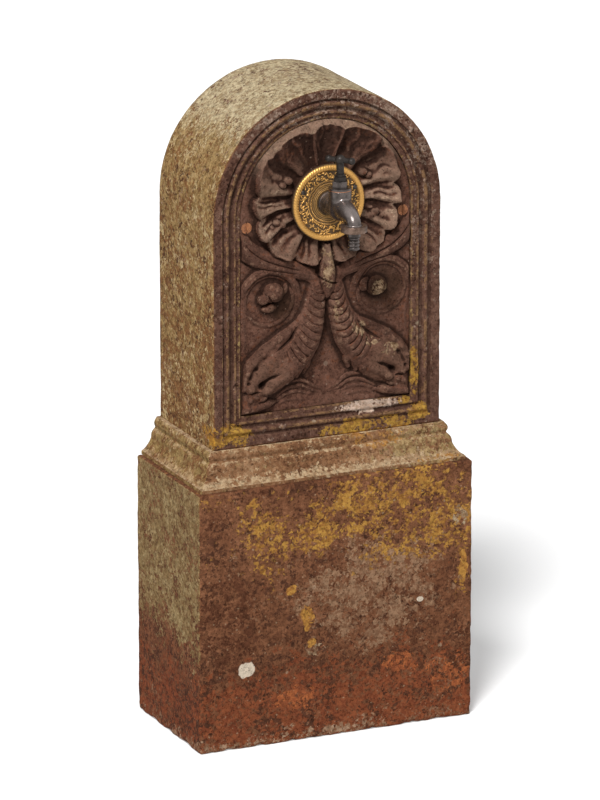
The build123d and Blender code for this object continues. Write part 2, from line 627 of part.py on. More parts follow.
def panel_screw_form(side, clearance):
    """Countersunk head and shank of a panel screw, as a solid of revolution grown by a clearance."""
    head = PANEL_SCREW_HEAD_RADIUS + clearance
    shank = PANEL_SCREW_RADIUS + clearance
    outline = [
        (0, 0, 0),
        (head, 0, 0),
        (shank, PANEL_SCREW_HEAD_HEIGHT, 0),
        (shank, PANEL_SCREW_LENGTH, 0),
        (0, PANEL_SCREW_LENGTH, 0),
    ]
    screw = revolve(make_face(Polyline(*outline, close=True)), Axis.Y)
    return Pos(side * PANEL_SCREW_X, PANEL_FACE, PANEL_SCREW_Z) * screw


def panel_screw_space(side):
    """Countersunk hole through the panel, open to the front through any relief over it."""
    mouth = rod(
        PANEL_SCREW_Z,
        PANEL_FACE - 2 * DOLPHIN_HEIGHT,
        PANEL_FACE,
        PANEL_SCREW_HEAD_RADIUS + SNUG_CLEARANCE,
        side * PANEL_SCREW_X,
    )
    return panel_screw_form(side, SNUG_CLEARANCE) + mouth


def panel_screws():
    """Two slotted countersunk screws through the panel into the lip."""
    screws = []
    slot_half = PANEL_SCREW_SLOT_WIDTH / 2
    reach = PANEL_SCREW_HEAD_RADIUS + CUT_MARGIN
    for side in (-1, 1):
        slot = block(-slot_half, slot_half, -CUT_MARGIN, PANEL_SCREW_SLOT_DEPTH, -reach, reach)
        place = Pos(side * PANEL_SCREW_X, PANEL_FACE, PANEL_SCREW_Z)
        screws.append(panel_screw_form(side, 0) - place * slot)
    return screws


def escutcheon():
    """Round plate with a half-round rim and a raised ring about the tap's shank."""
    hole = SHANK_RADIUS + HOLE_CLEARANCE
    rim_in = ESCUTCHEON_RADIUS - ESCUTCHEON_RIM_WIDTH
    rim_crest = (ESCUTCHEON_RADIUS - ESCUTCHEON_RIM_WIDTH / 2, -ESCUTCHEON_RIM_HEIGHT, 0)
    face = -ESCUTCHEON_PLATE
    ring = face - ESCUTCHEON_RING_HEIGHT
    inside = [
        (rim_in, face, 0),
        (ESCUTCHEON_RING_OUTER, face, 0),
        (ESCUTCHEON_RING_OUTER, ring, 0),
        (ESCUTCHEON_RING_INNER, ring, 0),
        (ESCUTCHEON_RING_INNER, face, 0),
        (hole, face, 0),
        (hole, 0, 0),
        (ESCUTCHEON_RADIUS, 0, 0),
        (ESCUTCHEON_RADIUS, face, 0),
    ]
    outline = [ThreePointArc((ESCUTCHEON_RADIUS, face, 0), rim_crest, (rim_in, face, 0)), Polyline(*inside)]
    plate = Pos(0, BOSS_FACE, INLET_Z) * revolve(make_face(outline), Axis.Y)
    for side in (-1, 1):
        hole_x = side * ESCUTCHEON_SCREW_ACROSS / 2
        hole_z = INLET_Z + ESCUTCHEON_SCREW_RISE
        radius = ESCUTCHEON_SCREW_RADIUS + SNUG_CLEARANCE
        plate -= rod(hole_z, TAP_SEAT - ESCUTCHEON_RIM_HEIGHT, BOSS_FACE + CUT_MARGIN, radius, hole_x)
    return plate


def escutcheon_screws():
    """Two round-headed screws through the escutcheon into the panel's boss."""
    screws = []
    for side in (-1, 1):
        x = side * ESCUTCHEON_SCREW_ACROSS / 2
        z = INLET_Z + ESCUTCHEON_SCREW_RISE
        shank = rod(z, TAP_SEAT, BOSS_FACE + ESCUTCHEON_SCREW_LENGTH, ESCUTCHEON_SCREW_RADIUS, x)
        head = rod(z, TAP_SEAT - ESCUTCHEON_SCREW_HEAD_HEIGHT, TAP_SEAT, ESCUTCHEON_SCREW_HEAD_RADIUS, x)
        head = fillet(head.edges().group_by(Axis.Y)[0], ESCUTCHEON_SCREW_HEAD_HEIGHT / 2)
        screws.append(shank + head)
    return screws


def spout(start_radius, end_radius):
    """Curved horn from the chamber down to the outlet, round at every section."""
    top = INLET_Z + SEAT_RISE
    drop = top - (OUTLET_FOOT + OUTLET_THREAD_LENGTH / 2)
    sections = []
    for forward, fall, tilt, taper in SPOUT_STATIONS:
        along = (0, -cos(radians(tilt)), -sin(radians(tilt)))
        place = (0, BONNET_Y - forward * SPOUT_REACH, top - fall * drop)
        radius = start_radius + (end_radius - start_radius) * taper
        sections.append(Plane(origin=place, x_dir=(1, 0, 0), z_dir=along) * Circle(radius))
    return loft(sections)


def tap_body():
    """Shank, barrel, chamber with its raised seat, and curved spout with the outlet thread."""
    body = rod(INLET_Z, BONNET_Y, TAP_SEAT, BARREL_RADIUS)
    body += rod(INLET_Z, TAP_SEAT - SHOULDER_LENGTH, TAP_SEAT, SHOULDER_RADIUS)
    body += rod(INLET_Z, TAP_SEAT, SHANK_END, SHANK_RADIUS)
    body += post(BONNET_Y, INLET_Z, CHAMBER_RIM, CHAMBER_RADIUS)
    body += Pos(0, BONNET_Y, INLET_Z) * Sphere(GLOBE_RADIUS)
    body += spout(SPOUT_ROOT_RADIUS, SPOUT_NECK_RADIUS)
    body += post(OUTLET_Y, OUTLET_FOOT, INLET_Z - OUTLET_DROP, OUTLET_THREAD_RADIUS)

    floor = SEAT_TOP - SEAT_HEIGHT
    body -= post(BONNET_Y, floor, CHAMBER_RIM + CUT_MARGIN, CHAMBER_BORE_RADIUS)
    body -= post(BONNET_Y, SPIGOT_FOOT, CHAMBER_RIM + CUT_MARGIN, BONNET_THREAD_RADIUS)
    outlet_bore = spout(SPOUT_BORE_RADIUS, SPOUT_BORE_RADIUS)
    body -= outlet_bore - post(BONNET_Y, floor - CHAMBER_RADIUS, floor, CHAMBER_RADIUS)
    body -= post(OUTLET_Y, OUTLET_FOOT - CUT_MARGIN, INLET_Z - OUTLET_DROP, OUTLET_BORE_RADIUS)
    seat = post(BONNET_Y, floor - SEAT_HEIGHT, SEAT_TOP, SEAT_RADIUS)
    body += seat
    link = INLET_Z - WATERWAY_RADIUS - SEAT_HEIGHT / 2
    body -= post(BONNET_Y, link, SEAT_TOP + CUT_MARGIN, SEAT_BORE_RADIUS)
    body -= rod(link, BONNET_Y, TAP_SEAT - CHAMBER_RADIUS, LINK_RADIUS)
    body -= post(TAP_SEAT - CHAMBER_RADIUS, link, INLET_Z, LINK_RADIUS)
    body -= rod(INLET_Z, TAP_SEAT - CHAMBER_RADIUS, SHANK_END + CUT_MARGIN, WATERWAY_RADIUS)
    return body


def bonnet():
    """Screwed head with a guide for the spindle's thread, a throat and a stuffing box."""
    head = post(BONNET_Y, SPIGOT_FOOT, BONNET_FOOT, BONNET_THREAD_RADIUS - THREAD_CLEARANCE)
    head += post(BONNET_Y, BONNET_FOOT, BONNET_SHOULDER, BONNET_FLANGE_RADIUS)
    head += hex_post(BONNET_Y, BONNET_SHOULDER, BONNET_TOP, BONNET_HEX_ACROSS_FLATS)
    head -= post(BONNET_Y, SPIGOT_FOOT - CUT_MARGIN, THROAT_FOOT, SPINDLE_THREAD_RADIUS + SLIDE_CLEARANCE)
    head -= post(BONNET_Y, THROAT_FOOT, THROAT_TOP, SPINDLE_RADIUS + SLIDE_CLEARANCE)
    head -= post(BONNET_Y, THROAT_TOP, BONNET_TOP + CUT_MARGIN, STUFFING_RADIUS)
    return head


def bonnet_washer():
    """Copper ring between the chamber's rim and the bonnet's flange."""
    ring = post(BONNET_Y, CHAMBER_RIM, BONNET_FOOT, CHAMBER_RADIUS)
    return ring - post(BONNET_Y, CHAMBER_RIM - CUT_MARGIN, BONNET_FOOT + CUT_MARGIN, BONNET_THREAD_RADIUS)


def gland_packing():
    """Seal in the stuffing box round the spindle."""
    ring = post(BONNET_Y, THROAT_TOP, THROAT_TOP + PACKING_HEIGHT, STUFFING_RADIUS - SNUG_CLEARANCE)
    bore = SPINDLE_RADIUS + SLIDE_CLEARANCE
    return ring - post(BONNET_Y, THROAT_TOP - CUT_MARGIN, BONNET_TOP + CUT_MARGIN, bore)


def gland_nut():
    """Stepped nut that presses the packing down."""
    nut = hex_post(BONNET_Y, BONNET_TOP, BONNET_TOP + GLAND_HEX_HEIGHT, GLAND_HEX_ACROSS_FLATS)
    nut += post(BONNET_Y, BONNET_TOP + GLAND_HEX_HEIGHT, GLAND_TOP, GLAND_COLLAR_RADIUS)
    nose = STUFFING_RADIUS - THREAD_CLEARANCE
    nut += post(BONNET_Y, THROAT_TOP + PACKING_HEIGHT, BONNET_TOP, nose)
    bore = SPINDLE_RADIUS + SLIDE_CLEARANCE
    return nut - post(BONNET_Y, THROAT_TOP, GLAND_TOP + CUT_MARGIN, bore)


def handle_pin_form(clearance):
    """Cross pin through the handle's neck and the spindle, across the handle's bar."""
    place = Pos(0, BONNET_Y, HANDLE_FOOT + HANDLE_PIN_RISE) * Rot(0, 0, HANDLE_TURN) * Rot(90, 0, 0)
    return place * Cylinder(HANDLE_PIN_RADIUS + clearance, 2 * (HANDLE_NECK_RADIUS + clearance))


def spindle():
    """Threaded foot that lifts the valve, stem through the gland and a thinner end inside the handle."""
    stem_top = HANDLE_FOOT
    screw = post(BONNET_Y, SPINDLE_FOOT, SPINDLE_SHOULDER, SPINDLE_THREAD_RADIUS)
    screw += post(BONNET_Y, SPINDLE_SHOULDER, stem_top, SPINDLE_RADIUS)
    screw += post(BONNET_Y, stem_top, HUB_Z, HANDLE_BORE_RADIUS)
    socket = JUMPER_STEM_RADIUS + SLIDE_CLEARANCE
    screw -= post(BONNET_Y, SPINDLE_FOOT - CUT_MARGIN, PLATE_TOP + JUMPER_STEM_LENGTH + CUT_MARGIN, socket)
    return screw - handle_pin_form(SNUG_CLEARANCE)


def crutch_handle():
    """T handle: neck, hub, cross bar and ball ends."""
    handle = post(BONNET_Y, HANDLE_FOOT, HUB_Z, HANDLE_NECK_RADIUS)
    hub = Pos(0, BONNET_Y, HUB_Z)
    handle += hub * Sphere(HANDLE_HUB_RADIUS)
    bar = Rot(0, 0, HANDLE_TURN)
    reach = HANDLE_BAR_LENGTH / 2 - HANDLE_BALL_RADIUS
    handle += hub * bar * Rot(0, 90, 0) * Cylinder(HANDLE_BAR_RADIUS, 2 * reach)
    for side in (-1, 1):
        handle += hub * bar * Pos(side * reach, 0, 0) * Sphere(HANDLE_BALL_RADIUS)
    bore = HANDLE_BORE_RADIUS + SNUG_CLEARANCE
    handle -= post(BONNET_Y, HANDLE_FOOT - CUT_MARGIN, HUB_Z + SNUG_CLEARANCE, bore)
    return handle - handle_pin_form(SNUG_CLEARANCE)


def jumper_valve():
    """Plate with a stem up into the spindle and a stud down through its washer."""
    valve = post(BONNET_Y, PLATE_FOOT, PLATE_TOP, JUMPER_PLATE_RADIUS)
    valve += post(BONNET_Y, PLATE_TOP, PLATE_TOP + JUMPER_STEM_LENGTH, JUMPER_STEM_RADIUS)
    return valve + post(BONNET_Y, PLATE_FOOT - JUMPER_STUD_LENGTH, PLATE_FOOT, JUMPER_STUD_RADIUS)


def jumper_washer():
    """Sealing washer under the valve's plate."""
    ring = post(BONNET_Y, JUMPER_FOOT, PLATE_FOOT, JUMPER_WASHER_RADIUS)
    hole = JUMPER_STUD_RADIUS + SNUG_CLEARANCE
    return ring - post(BONNET_Y, JUMPER_FOOT - CUT_MARGIN, PLATE_FOOT + CUT_MARGIN, hole)


def jumper_nut():
    """Small nut that holds the washer on the valve's stud."""
    foot = JUMPER_FOOT - JUMPER_NUT_HEIGHT
    nut = hex_post(BONNET_Y, foot, JUMPER_FOOT, JUMPER_NUT_ACROSS_FLATS)
    hole = JUMPER_STUD_RADIUS + SNUG_CLEARANCE
    return nut - post(BONNET_Y, foot - CUT_MARGIN, JUMPER_FOOT + CUT_MARGIN, hole)


def union_nut():
    """Plain ring nut over the outlet thread that traps the tail's flange."""
    top = NUT_FOOT + UNION_NUT_HEIGHT
    nut = post(OUTLET_Y, NUT_FOOT, top, UNION_NUT_RADIUS)
    nut = fillet(nut.edges().filter_by(GeomType.CIRCLE), UNION_NUT_ARRIS)
    nut -= post(OUTLET_Y, NUT_FLOOR_TOP, top + CUT_MARGIN, OUTLET_THREAD_RADIUS + SLIDE_CLEARANCE)
    return nut - post(OUTLET_Y, NUT_FOOT - CUT_MARGIN, NUT_FLOOR_TOP, TAIL_COLLAR_RADIUS + SLIDE_CLEARANCE)


def union_washer():
    """Seal between the outlet and the tail's flange."""
    ring = post(OUTLET_Y, TAIL_FLANGE_TOP, UNION_WASHER_TOP, TAIL_FLANGE_RADIUS)
    return ring - post(OUTLET_Y, TAIL_FLANGE_FOOT, UNION_WASHER_TOP + CUT_MARGIN, TAIL_BORE_RADIUS)


def hose_tail():
    """Flange, collar and ribbed tail, bored through."""
    tail = post(OUTLET_Y, TAIL_FLANGE_FOOT, TAIL_FLANGE_TOP, TAIL_FLANGE_RADIUS)
    tail += post(OUTLET_Y, TAIL_COLLAR_FOOT, TAIL_FLANGE_FOOT, TAIL_COLLAR_RADIUS)
    outline = [(0, TAIL_COLLAR_FOOT)]
    for rib in range(TAIL_RIBS):
        top = TAIL_COLLAR_FOOT - rib * TAIL_RIB_PITCH
        land_top = top - (TAIL_RIB_PITCH - TAIL_LAND_LENGTH) / 2
        land_foot = land_top - TAIL_LAND_LENGTH
        outline.append((TAIL_GROOVE_RADIUS, top))
        outline.append((TAIL_LAND_RADIUS, land_top))
        outline.append((TAIL_LAND_RADIUS, land_foot))
    outline.append((TAIL_GROOVE_RADIUS, TAIL_FOOT))
    outline.append((0, TAIL_FOOT))
    points = [(radius, 0, height) for radius, height in outline]
    tail += Pos(0, OUTLET_Y, 0) * revolve(make_face(Polyline(*points, close=True)), Axis.Z)
    return tail - post(OUTLET_Y, TAIL_FOOT - CUT_MARGIN, TAIL_FLANGE_TOP + CUT_MARGIN, TAIL_BORE_RADIUS)


def back_washer():
    """Washer behind the panel."""
    y1 = PANEL_BACK + BACK_WASHER_THICKNESS
    ring = rod(INLET_Z, PANEL_BACK, y1, BACK_WASHER_RADIUS)
    return ring - rod(INLET_Z, PANEL_BACK - CUT_MARGIN, y1 + CUT_MARGIN, SHANK_RADIUS + THREAD_CLEARANCE)


def back_nut():
    """Nut that clamps the tap through the escutcheon and the panel."""
    y0 = PANEL_BACK + BACK_WASHER_THICKNESS
    y1 = y0 + BACK_NUT_HEIGHT
    outline = RegularPolygon(BACK_NUT_ACROSS_FLATS / 2, 6, major_radius=False)
    nut = Pos(0, y1, INLET_Z) * Rot(90, 0, 0) * extrude(outline, BACK_NUT_HEIGHT)
    return nut - rod(INLET_Z, y0 - CUT_MARGIN, y1 + CUT_MARGIN, SHANK_RADIUS + THREAD_CLEARANCE)


def inlet_elbow():
    """Elbow from the tap's shank down to the riser."""
    foot = INLET_Z - ELBOW_REACH
    elbow = rod(INLET_Z, ELBOW_FACE, PIPE_Y, ELBOW_RADIUS) + post(PIPE_Y, foot, INLET_Z, ELBOW_RADIUS)
    elbow += Pos(0, PIPE_Y, INLET_Z) * Sphere(ELBOW_RADIUS)
    elbow -= rod(INLET_Z, ELBOW_FACE - CUT_MARGIN, SHANK_END, SHANK_RADIUS + THREAD_CLEARANCE)
    elbow -= rod(INLET_Z, SHANK_END, PIPE_Y, PIPE_BORE_RADIUS)
    elbow -= post(PIPE_Y, foot - CUT_MARGIN, PIPE_TOP, PIPE_RADIUS + THREAD_CLEARANCE)
    elbow -= post(PIPE_Y, PIPE_TOP, INLET_Z, PIPE_BORE_RADIUS)
    return elbow - Pos(0, PIPE_Y, INLET_Z) * Sphere(PIPE_BORE_RADIUS)


def pipe_foot():
    """Level where the riser ends against the stop inside the supply socket."""
    return SOCKET_FLOOR_GAP + SOCKET_LENGTH / 2 + SOCKET_STOP / 2


def riser_pipe():
    """Pipe from the supply socket up to the elbow."""
    pipe = post(PIPE_Y, pipe_foot(), PIPE_TOP, PIPE_RADIUS)
    return pipe - post(PIPE_Y, pipe_foot() - CUT_MARGIN, PIPE_TOP + CUT_MARGIN, PIPE_BORE_RADIUS)


def supply_socket():
    """Socket on the riser's foot, threaded below for the supply."""
    top = SOCKET_FLOOR_GAP + SOCKET_LENGTH
    socket = post(PIPE_Y, SOCKET_FLOOR_GAP, top, SOCKET_RADIUS)
    socket -= post(PIPE_Y, pipe_foot(), top + CUT_MARGIN, PIPE_RADIUS + THREAD_CLEARANCE)
    stop = pipe_foot() - SOCKET_STOP
    socket -= post(PIPE_Y, SOCKET_FLOOR_GAP - CUT_MARGIN, stop, SOCKET_THREAD_RADIUS)
    return socket - post(PIPE_Y, stop - CUT_MARGIN, pipe_foot() + CUT_MARGIN, PIPE_BORE_RADIUS)


def pipe_bush():
    """Flanged bush that steadies the riser in the cap's plate."""
    bush = post(PIPE_Y, CAP_PLATE_FOOT, HOOD_FOOT, BUSH_RADIUS)
    flange_top = HOOD_FOOT + BUSH_FLANGE_THICKNESS
    bush += post(PIPE_Y, HOOD_FOOT, flange_top, BUSH_FLANGE_RADIUS)
    bore = PIPE_RADIUS + SNUG_CLEARANCE
    return bush - post(PIPE_Y, CAP_PLATE_FOOT - CUT_MARGIN, flange_top + CUT_MARGIN, bore)


def tie_levels():
    """Underside of the bolts' heads, top of the nuts' washers and foot of the bolts."""
    head = HOOD_FOOT + HOOD_FLANGE_THICKNESS
    washer = PLINTH_HEIGHT - TOP_PLATE_THICKNESS
    foot = washer - TIE_WASHER_THICKNESS - TIE_NUT_HEIGHT - TIE_BOLT_TAIL
    return head, washer, foot


def tie_bolts():
    """Long hexagon-headed bolts through the three castings."""
    head, _, foot = tie_levels()
    bolts = []
    for x, y in TIE_PLACES:
        bolt = Pos(x, 0, 0) * hex_post(y, head, head + TIE_HEAD_HEIGHT, TIE_HEAD_ACROSS_FLATS)
        bolts.append(bolt + post(y, foot, head, TIE_BOLT_RADIUS, x))
    return bolts


def tie_washers():
    """Washers under the plinth's top plate."""
    _, top, _ = tie_levels()
    foot = top - TIE_WASHER_THICKNESS
    hole = TIE_BOLT_RADIUS + THREAD_CLEARANCE
    washers = []
    for x, y in TIE_PLACES:
        ring = post(y, foot, top, TIE_WASHER_RADIUS, x)
        washers.append(ring - post(y, foot - CUT_MARGIN, top + CUT_MARGIN, hole, x))
    return washers


def tie_nuts():
    """Nuts on the tie bolts, below their washers."""
    _, washer, _ = tie_levels()
    top = washer - TIE_WASHER_THICKNESS
    foot = top - TIE_NUT_HEIGHT
    hole = TIE_BOLT_RADIUS + THREAD_CLEARANCE
    nuts = []
    for x, y in TIE_PLACES:
        nut = Pos(x, 0, 0) * hex_post(y, foot, top, TIE_HEAD_ACROSS_FLATS)
        nuts.append(nut - post(y, foot - CUT_MARGIN, top + CUT_MARGIN, hole, x))
    return nuts


PIECES = (
    plinth_casing,
    moulded_cap,
    hood_casing,
    relief_panel,
    panel_screws,
    escutcheon,
    escutcheon_screws,
    tap_body,
    bonnet,
    bonnet_washer,
    gland_packing,
    gland_nut,
    spindle,
    crutch_handle,
    jumper_valve,
    jumper_washer,
    jumper_nut,
    union_nut,
    union_washer,
    hose_tail,
    back_washer,
    back_nut,
    inlet_elbow,
    riser_pipe,
    supply_socket,
    pipe_bush,
    tie_bolts,
    tie_washers,
    tie_nuts,
)


def main():
    """Write each piece to its own file, a group of like fasteners together in one."""
    os.makedirs("parts", exist_ok=True)
    for make in PIECES:
        made = make()
        shape = Compound(children=made) if isinstance(made, list) else made
        export_step(shape, f"parts/{make.__name__}.step")
    export_step(handle_pin_form(0), "parts/handle_pin.step")


main()
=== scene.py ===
import math

import bmesh
import bpy
import numpy as np
from mathutils import Matrix, Vector, kdtree


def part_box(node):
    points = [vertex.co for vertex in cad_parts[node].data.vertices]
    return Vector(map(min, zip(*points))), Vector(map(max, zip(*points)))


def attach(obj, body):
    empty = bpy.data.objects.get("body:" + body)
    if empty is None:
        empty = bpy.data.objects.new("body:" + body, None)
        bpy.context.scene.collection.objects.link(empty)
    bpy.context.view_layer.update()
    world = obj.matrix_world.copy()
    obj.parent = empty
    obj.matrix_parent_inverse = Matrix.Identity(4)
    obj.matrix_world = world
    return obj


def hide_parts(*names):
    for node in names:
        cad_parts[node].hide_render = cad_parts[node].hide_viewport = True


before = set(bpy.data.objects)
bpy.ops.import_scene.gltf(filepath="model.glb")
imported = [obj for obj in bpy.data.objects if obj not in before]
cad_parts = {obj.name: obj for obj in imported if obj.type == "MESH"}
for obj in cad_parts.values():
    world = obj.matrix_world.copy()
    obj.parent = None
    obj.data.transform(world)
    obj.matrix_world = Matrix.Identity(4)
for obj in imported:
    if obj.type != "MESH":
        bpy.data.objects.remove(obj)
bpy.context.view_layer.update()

# Pieces are worked out in millimetres and turned into metres when their meshes are made
MM = 0.001


def corners(node):
    """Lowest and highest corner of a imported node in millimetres."""
    low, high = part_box(node)
    return np.array(low) / MM, np.array(high) / MM


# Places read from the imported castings
PLINTH_LOW, PLINTH_HIGH = corners("plinth_casing")
CAP_LOW, CAP_HIGH = corners("moulded_cap")
HOOD_LOW, HOOD_HIGH = corners("hood_casing")
PANEL_LOW, PANEL_HIGH = corners("relief_panel")
DISC_LOW, DISC_HIGH = corners("escutcheon")
SCREW_LOW, SCREW_HIGH = corners("panel_screws")
TIE_LOW, TIE_HIGH = corners("tie_washers")
BUSH_LOW, BUSH_HIGH = corners("pipe_bush")
HOOD_HALF = HOOD_HIGH[0]
HOOD_FRONT = HOOD_LOW[1]
HOOD_FOOT = HOOD_LOW[2]
SPRING = HOOD_HIGH[2] - HOOD_HALF
BACK = PLINTH_HIGH[1]
PANEL_THICKNESS = 10.0
PANEL_HALF = PANEL_HIGH[0]
PANEL_FOOT = PANEL_LOW[2]
PANEL_BACK = PANEL_HIGH[1]
PANEL_FACE = PANEL_BACK - PANEL_THICKNESS
INLET_Z = (DISC_LOW[2] + DISC_HIGH[2]) / 2
DISC_RADIUS = DISC_HIGH[0]
DISC_BACK = DISC_HIGH[1]
SHANK_HOLE = 10.95
SCREW_HEAD = 8.2
SCREW_HOLE_RADIUS = 4.03
SCREW_X = SCREW_HIGH[0] - SCREW_HEAD
SCREW_Z = (SCREW_LOW[2] + SCREW_HIGH[2]) / 2


# Shapes and noise

def smooth_step(start, end, value):
    """0 before start, 1 after end, with a soft change between."""
    share = np.clip((value - start) / (end - start), 0, 1)
    return share * share * (3 - 2 * share)


def smooth_max(first, second, blend):
    """The larger of two heights, with a fillet where they meet."""
    near = np.clip(1 - np.abs(first - second) / blend, 0, 1)
    return np.maximum(first, second) + near * near * blend / 4


WOBBLE_WAVES = 7


def wobble(points, wave, seed):
    """Gentle uneven field from -1 to 1 over points, with waves about this many millimetres long."""
    rng = np.random.default_rng(seed)
    total = np.zeros(len(points))
    for _ in range(WOBBLE_WAVES):
        way = rng.normal(size=points.shape[1])
        way *= 2 * math.pi / (wave * rng.uniform(0.7, 1.4) * np.linalg.norm(way))
        total += np.sin(points @ way + rng.uniform(0, 2 * math.pi))
    return total / (WOBBLE_WAVES / 2)


def strip_faces(rows, columns, closed):
    """Quads between the rows of a grid of points; closed joins the last column to the first."""
    index = np.arange(rows * columns).reshape(rows, columns)
    here = index if closed else index[:, :-1]
    beside = np.roll(index, -1, axis=1) if closed else index[:, 1:]
    quads = np.stack([here[:-1], beside[:-1], beside[1:], here[1:]], axis=-1)
    return quads.reshape(-1, 4).tolist()


# Points closer than this in metres are one, and shorter edges than a sliver are taken out
MERGE_DISTANCE = 0.00002
SLIVER = 0.000005


def new_piece(name, points, faces):
    """Mesh object from points in millimetres, its doubles merged and its faces turned outwards."""
    mesh = bpy.data.meshes.new(name)
    mesh.from_pydata((np.asarray(points) * MM).tolist(), [], faces)
    form = bmesh.new()
    form.from_mesh(mesh)
    bmesh.ops.remove_doubles(form, verts=form.verts, dist=MERGE_DISTANCE)
    bmesh.ops.dissolve_degenerate(form, edges=form.edges, dist=SLIVER)
    bmesh.ops.recalc_face_normals(form, faces=form.faces)
    form.to_mesh(mesh)
    form.free()
    piece = bpy.data.objects.new(name, mesh)
    bpy.context.scene.collection.objects.link(piece)
    return piece


def read_points(piece):
    """Points of a piece in millimetres and their normals."""
    count = len(piece.data.vertices)
    points = np.empty(count * 3)
    normals = np.empty(count * 3)
    piece.data.vertices.foreach_get("co", points)
    piece.data.vertex_normals.foreach_get("vector", normals)
    return points.reshape(-1, 3) / MM, normals.reshape(-1, 3)


def write_points(piece, points):
    """Puts points in millimetres back into a piece."""
    piece.data.vertices.foreach_set("co", (points * MM).ravel())
    piece.data.update()


def write_values(piece, name, values):
    """Stores one number for each point, for the finish to read."""
    layer = piece.data.attributes.new(name, "FLOAT", "POINT")
    layer.data.foreach_set("value", np.asarray(values, dtype=np.float32))


# Uneven cast skin: length and height of its long swells, short bumps and fine grit
SKIN_WAVES = ((110, 0.34), (34, 0.24), (13, 0.15), (7, 0.12))
SKIN_SINK = 0.25


def roughen(piece, weight, seed):
    """Gives a piece its cast skin, weighed by a function of the points."""
    points, normals = read_points(piece)
    skin = sum(height * wobble(points, wave, seed + at) for at, (wave, height) in enumerate(SKIN_WAVES))
    lift = (skin - SKIN_SINK) * weight(points)
    write_points(piece, points + normals * lift[:, None])


def chip(piece, centres, radii, depth):
    """Small scoops broken out of a piece about each centre."""
    points, normals = read_points(piece)
    tree = kdtree.KDTree(len(points))
    for index, point in enumerate(points):
        tree.insert(point, index)
    tree.balance()
    sink = np.zeros(len(points))
    for centre, radius in zip(centres, radii):
        for _, index, distance in tree.find_range(centre, radius):
            sink[index] = max(sink[index], depth * radius * (1 - (distance / radius) ** 2))
    write_points(piece, points - normals * sink[:, None])


def block(low, high):
    """Plain box to cut with."""
    low = np.asarray(low)
    high = np.asarray(high)
    points = [np.where([x, y, z], high, low) for x in (0, 1) for y in (0, 1) for z in (0, 1)]
    faces = [(0, 1, 3, 2), (4, 6, 7, 5), (0, 4, 5, 1), (2, 3, 7, 6), (0, 2, 6, 4), (1, 5, 7, 3)]
    return new_piece("cutter", points, faces)


DRILL_SIDES = 48


def drill(centre, axis, length, radius, mouth_radius=None):
    """Plain round hole to cut with, along axis 1 or 2 from its centre, wider at its start if asked."""
    turn = np.linspace(0, 2 * math.pi, DRILL_SIDES, endpoint=False)
    across = [index for index in range(3) if index != axis]
    rings = []
    for share, wide in ((0, mouth_radius or radius), (1, radius)):
        ring = np.tile(np.asarray(centre, float), (DRILL_SIDES, 1))
        ring[:, axis] += share * length
        ring[:, across[0]] += wide * np.cos(turn)
        ring[:, across[1]] += wide * np.sin(turn)
        rings.append(ring)
    faces = strip_faces(2, DRILL_SIDES, True)
    faces.append(list(range(DRILL_SIDES)))
    faces.append(list(range(2 * DRILL_SIDES - 1, DRILL_SIDES - 1, -1)))
    return new_piece("cutter", np.vstack(rings), faces)


def carve(piece, cutters):
    """Cuts hollows out of a piece and removes the cutters."""
    for cutter in cutters:
        cut = piece.modifiers.new("hollow", "BOOLEAN")
        cut.operation = "DIFFERENCE"
        cut.solver = "MANIFOLD"
        cut.object = cutter
    settle(piece)
    for cutter in cutters:
        bpy.data.meshes.remove(cutter.data)


def settle(piece):
    """Turns a piece's modifiers into plain mesh."""
    depsgraph = bpy.context.evaluated_depsgraph_get()
    shaped = bpy.data.meshes.new_from_object(piece.evaluated_get(depsgraph))
    piece.modifiers.clear()
    plain = piece.data
    piece.data = shaped
    bpy.data.meshes.remove(plain)


def dress(piece, finish, body, nodes, sharp=60):
    """Gives a piece its finish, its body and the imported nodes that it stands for."""
    piece.data.materials.clear()
    piece.data.materials.append(finish)
    piece.data.shade_smooth()
    piece.data.set_sharp_from_angle(angle=math.radians(sharp))
    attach(piece, body)
    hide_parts(*nodes)


# Castings

def stations(low, high, step):
    """Places from low to high, closer together near both ends so that arrises can be round."""
    near = np.array([0, 0.6, 1.3, 2.1, 3.0, 4.2, 5.8, 8.0, 11.0])
    inner = np.linspace(low + 15, high - 15, max(2, round((high - low - 30) / step)))
    return np.concatenate([low + near, inner, (high - near)[::-1]])


def box_skin(xs, ys, zs):
    """Grids on the six sides of a box."""
    places = (xs, ys, zs)
    points = []
    faces = []
    for axis in range(3):
        u_axis, v_axis = [index for index in range(3) if index != axis]
        u, v = np.meshgrid(places[u_axis], places[v_axis], indexing="ij")
        for end in (places[axis][0], places[axis][-1]):
            grid = np.zeros((u.size, 3))
            grid[:, axis] = end
            grid[:, u_axis] = u.ravel()
            grid[:, v_axis] = v.ravel()
            start = sum(len(part) for part in points)
            quads = np.array(strip_faces(*u.shape, False)) + start
            faces += quads.tolist()
            points.append(grid)
    return np.vstack(points), faces


PLINTH_STEP = 5.0
PLINTH_ARRIS = 3.6
PLINTH_WALL = 12.0
FLANGE_WIDTH = 40.0
FLANGE_THICKNESS = 12.0
FOOT_HOLE_RADIUS = 7.0
MOUTH_TOP = 20.0
CUT_MARGIN = 3.0
CHIP_DEPTH = 0.12

# Tie bolts, and the passage through all three castings
TIE_HOLE_RADIUS = 5.5
TIE_WASHER_RADIUS = 10.0
TIE_X = TIE_HIGH[0] - TIE_WASHER_RADIUS
TIE_YS = (TIE_LOW[1] + TIE_WASHER_RADIUS, TIE_HIGH[1] - TIE_WASHER_RADIUS)
CORE_HALF = 141.0
CORE_BACK = 74.0
PLINTH_CORE_FRONT = -56.0
CAP_CORE_FRONT = 6.0

# Where the plinth's faces are chipped, short of their edges
CHIPPED_X = (-215, 215)
CHIPPED_Y = (-110, 110)
CHIPPED_Z = (10, 390)


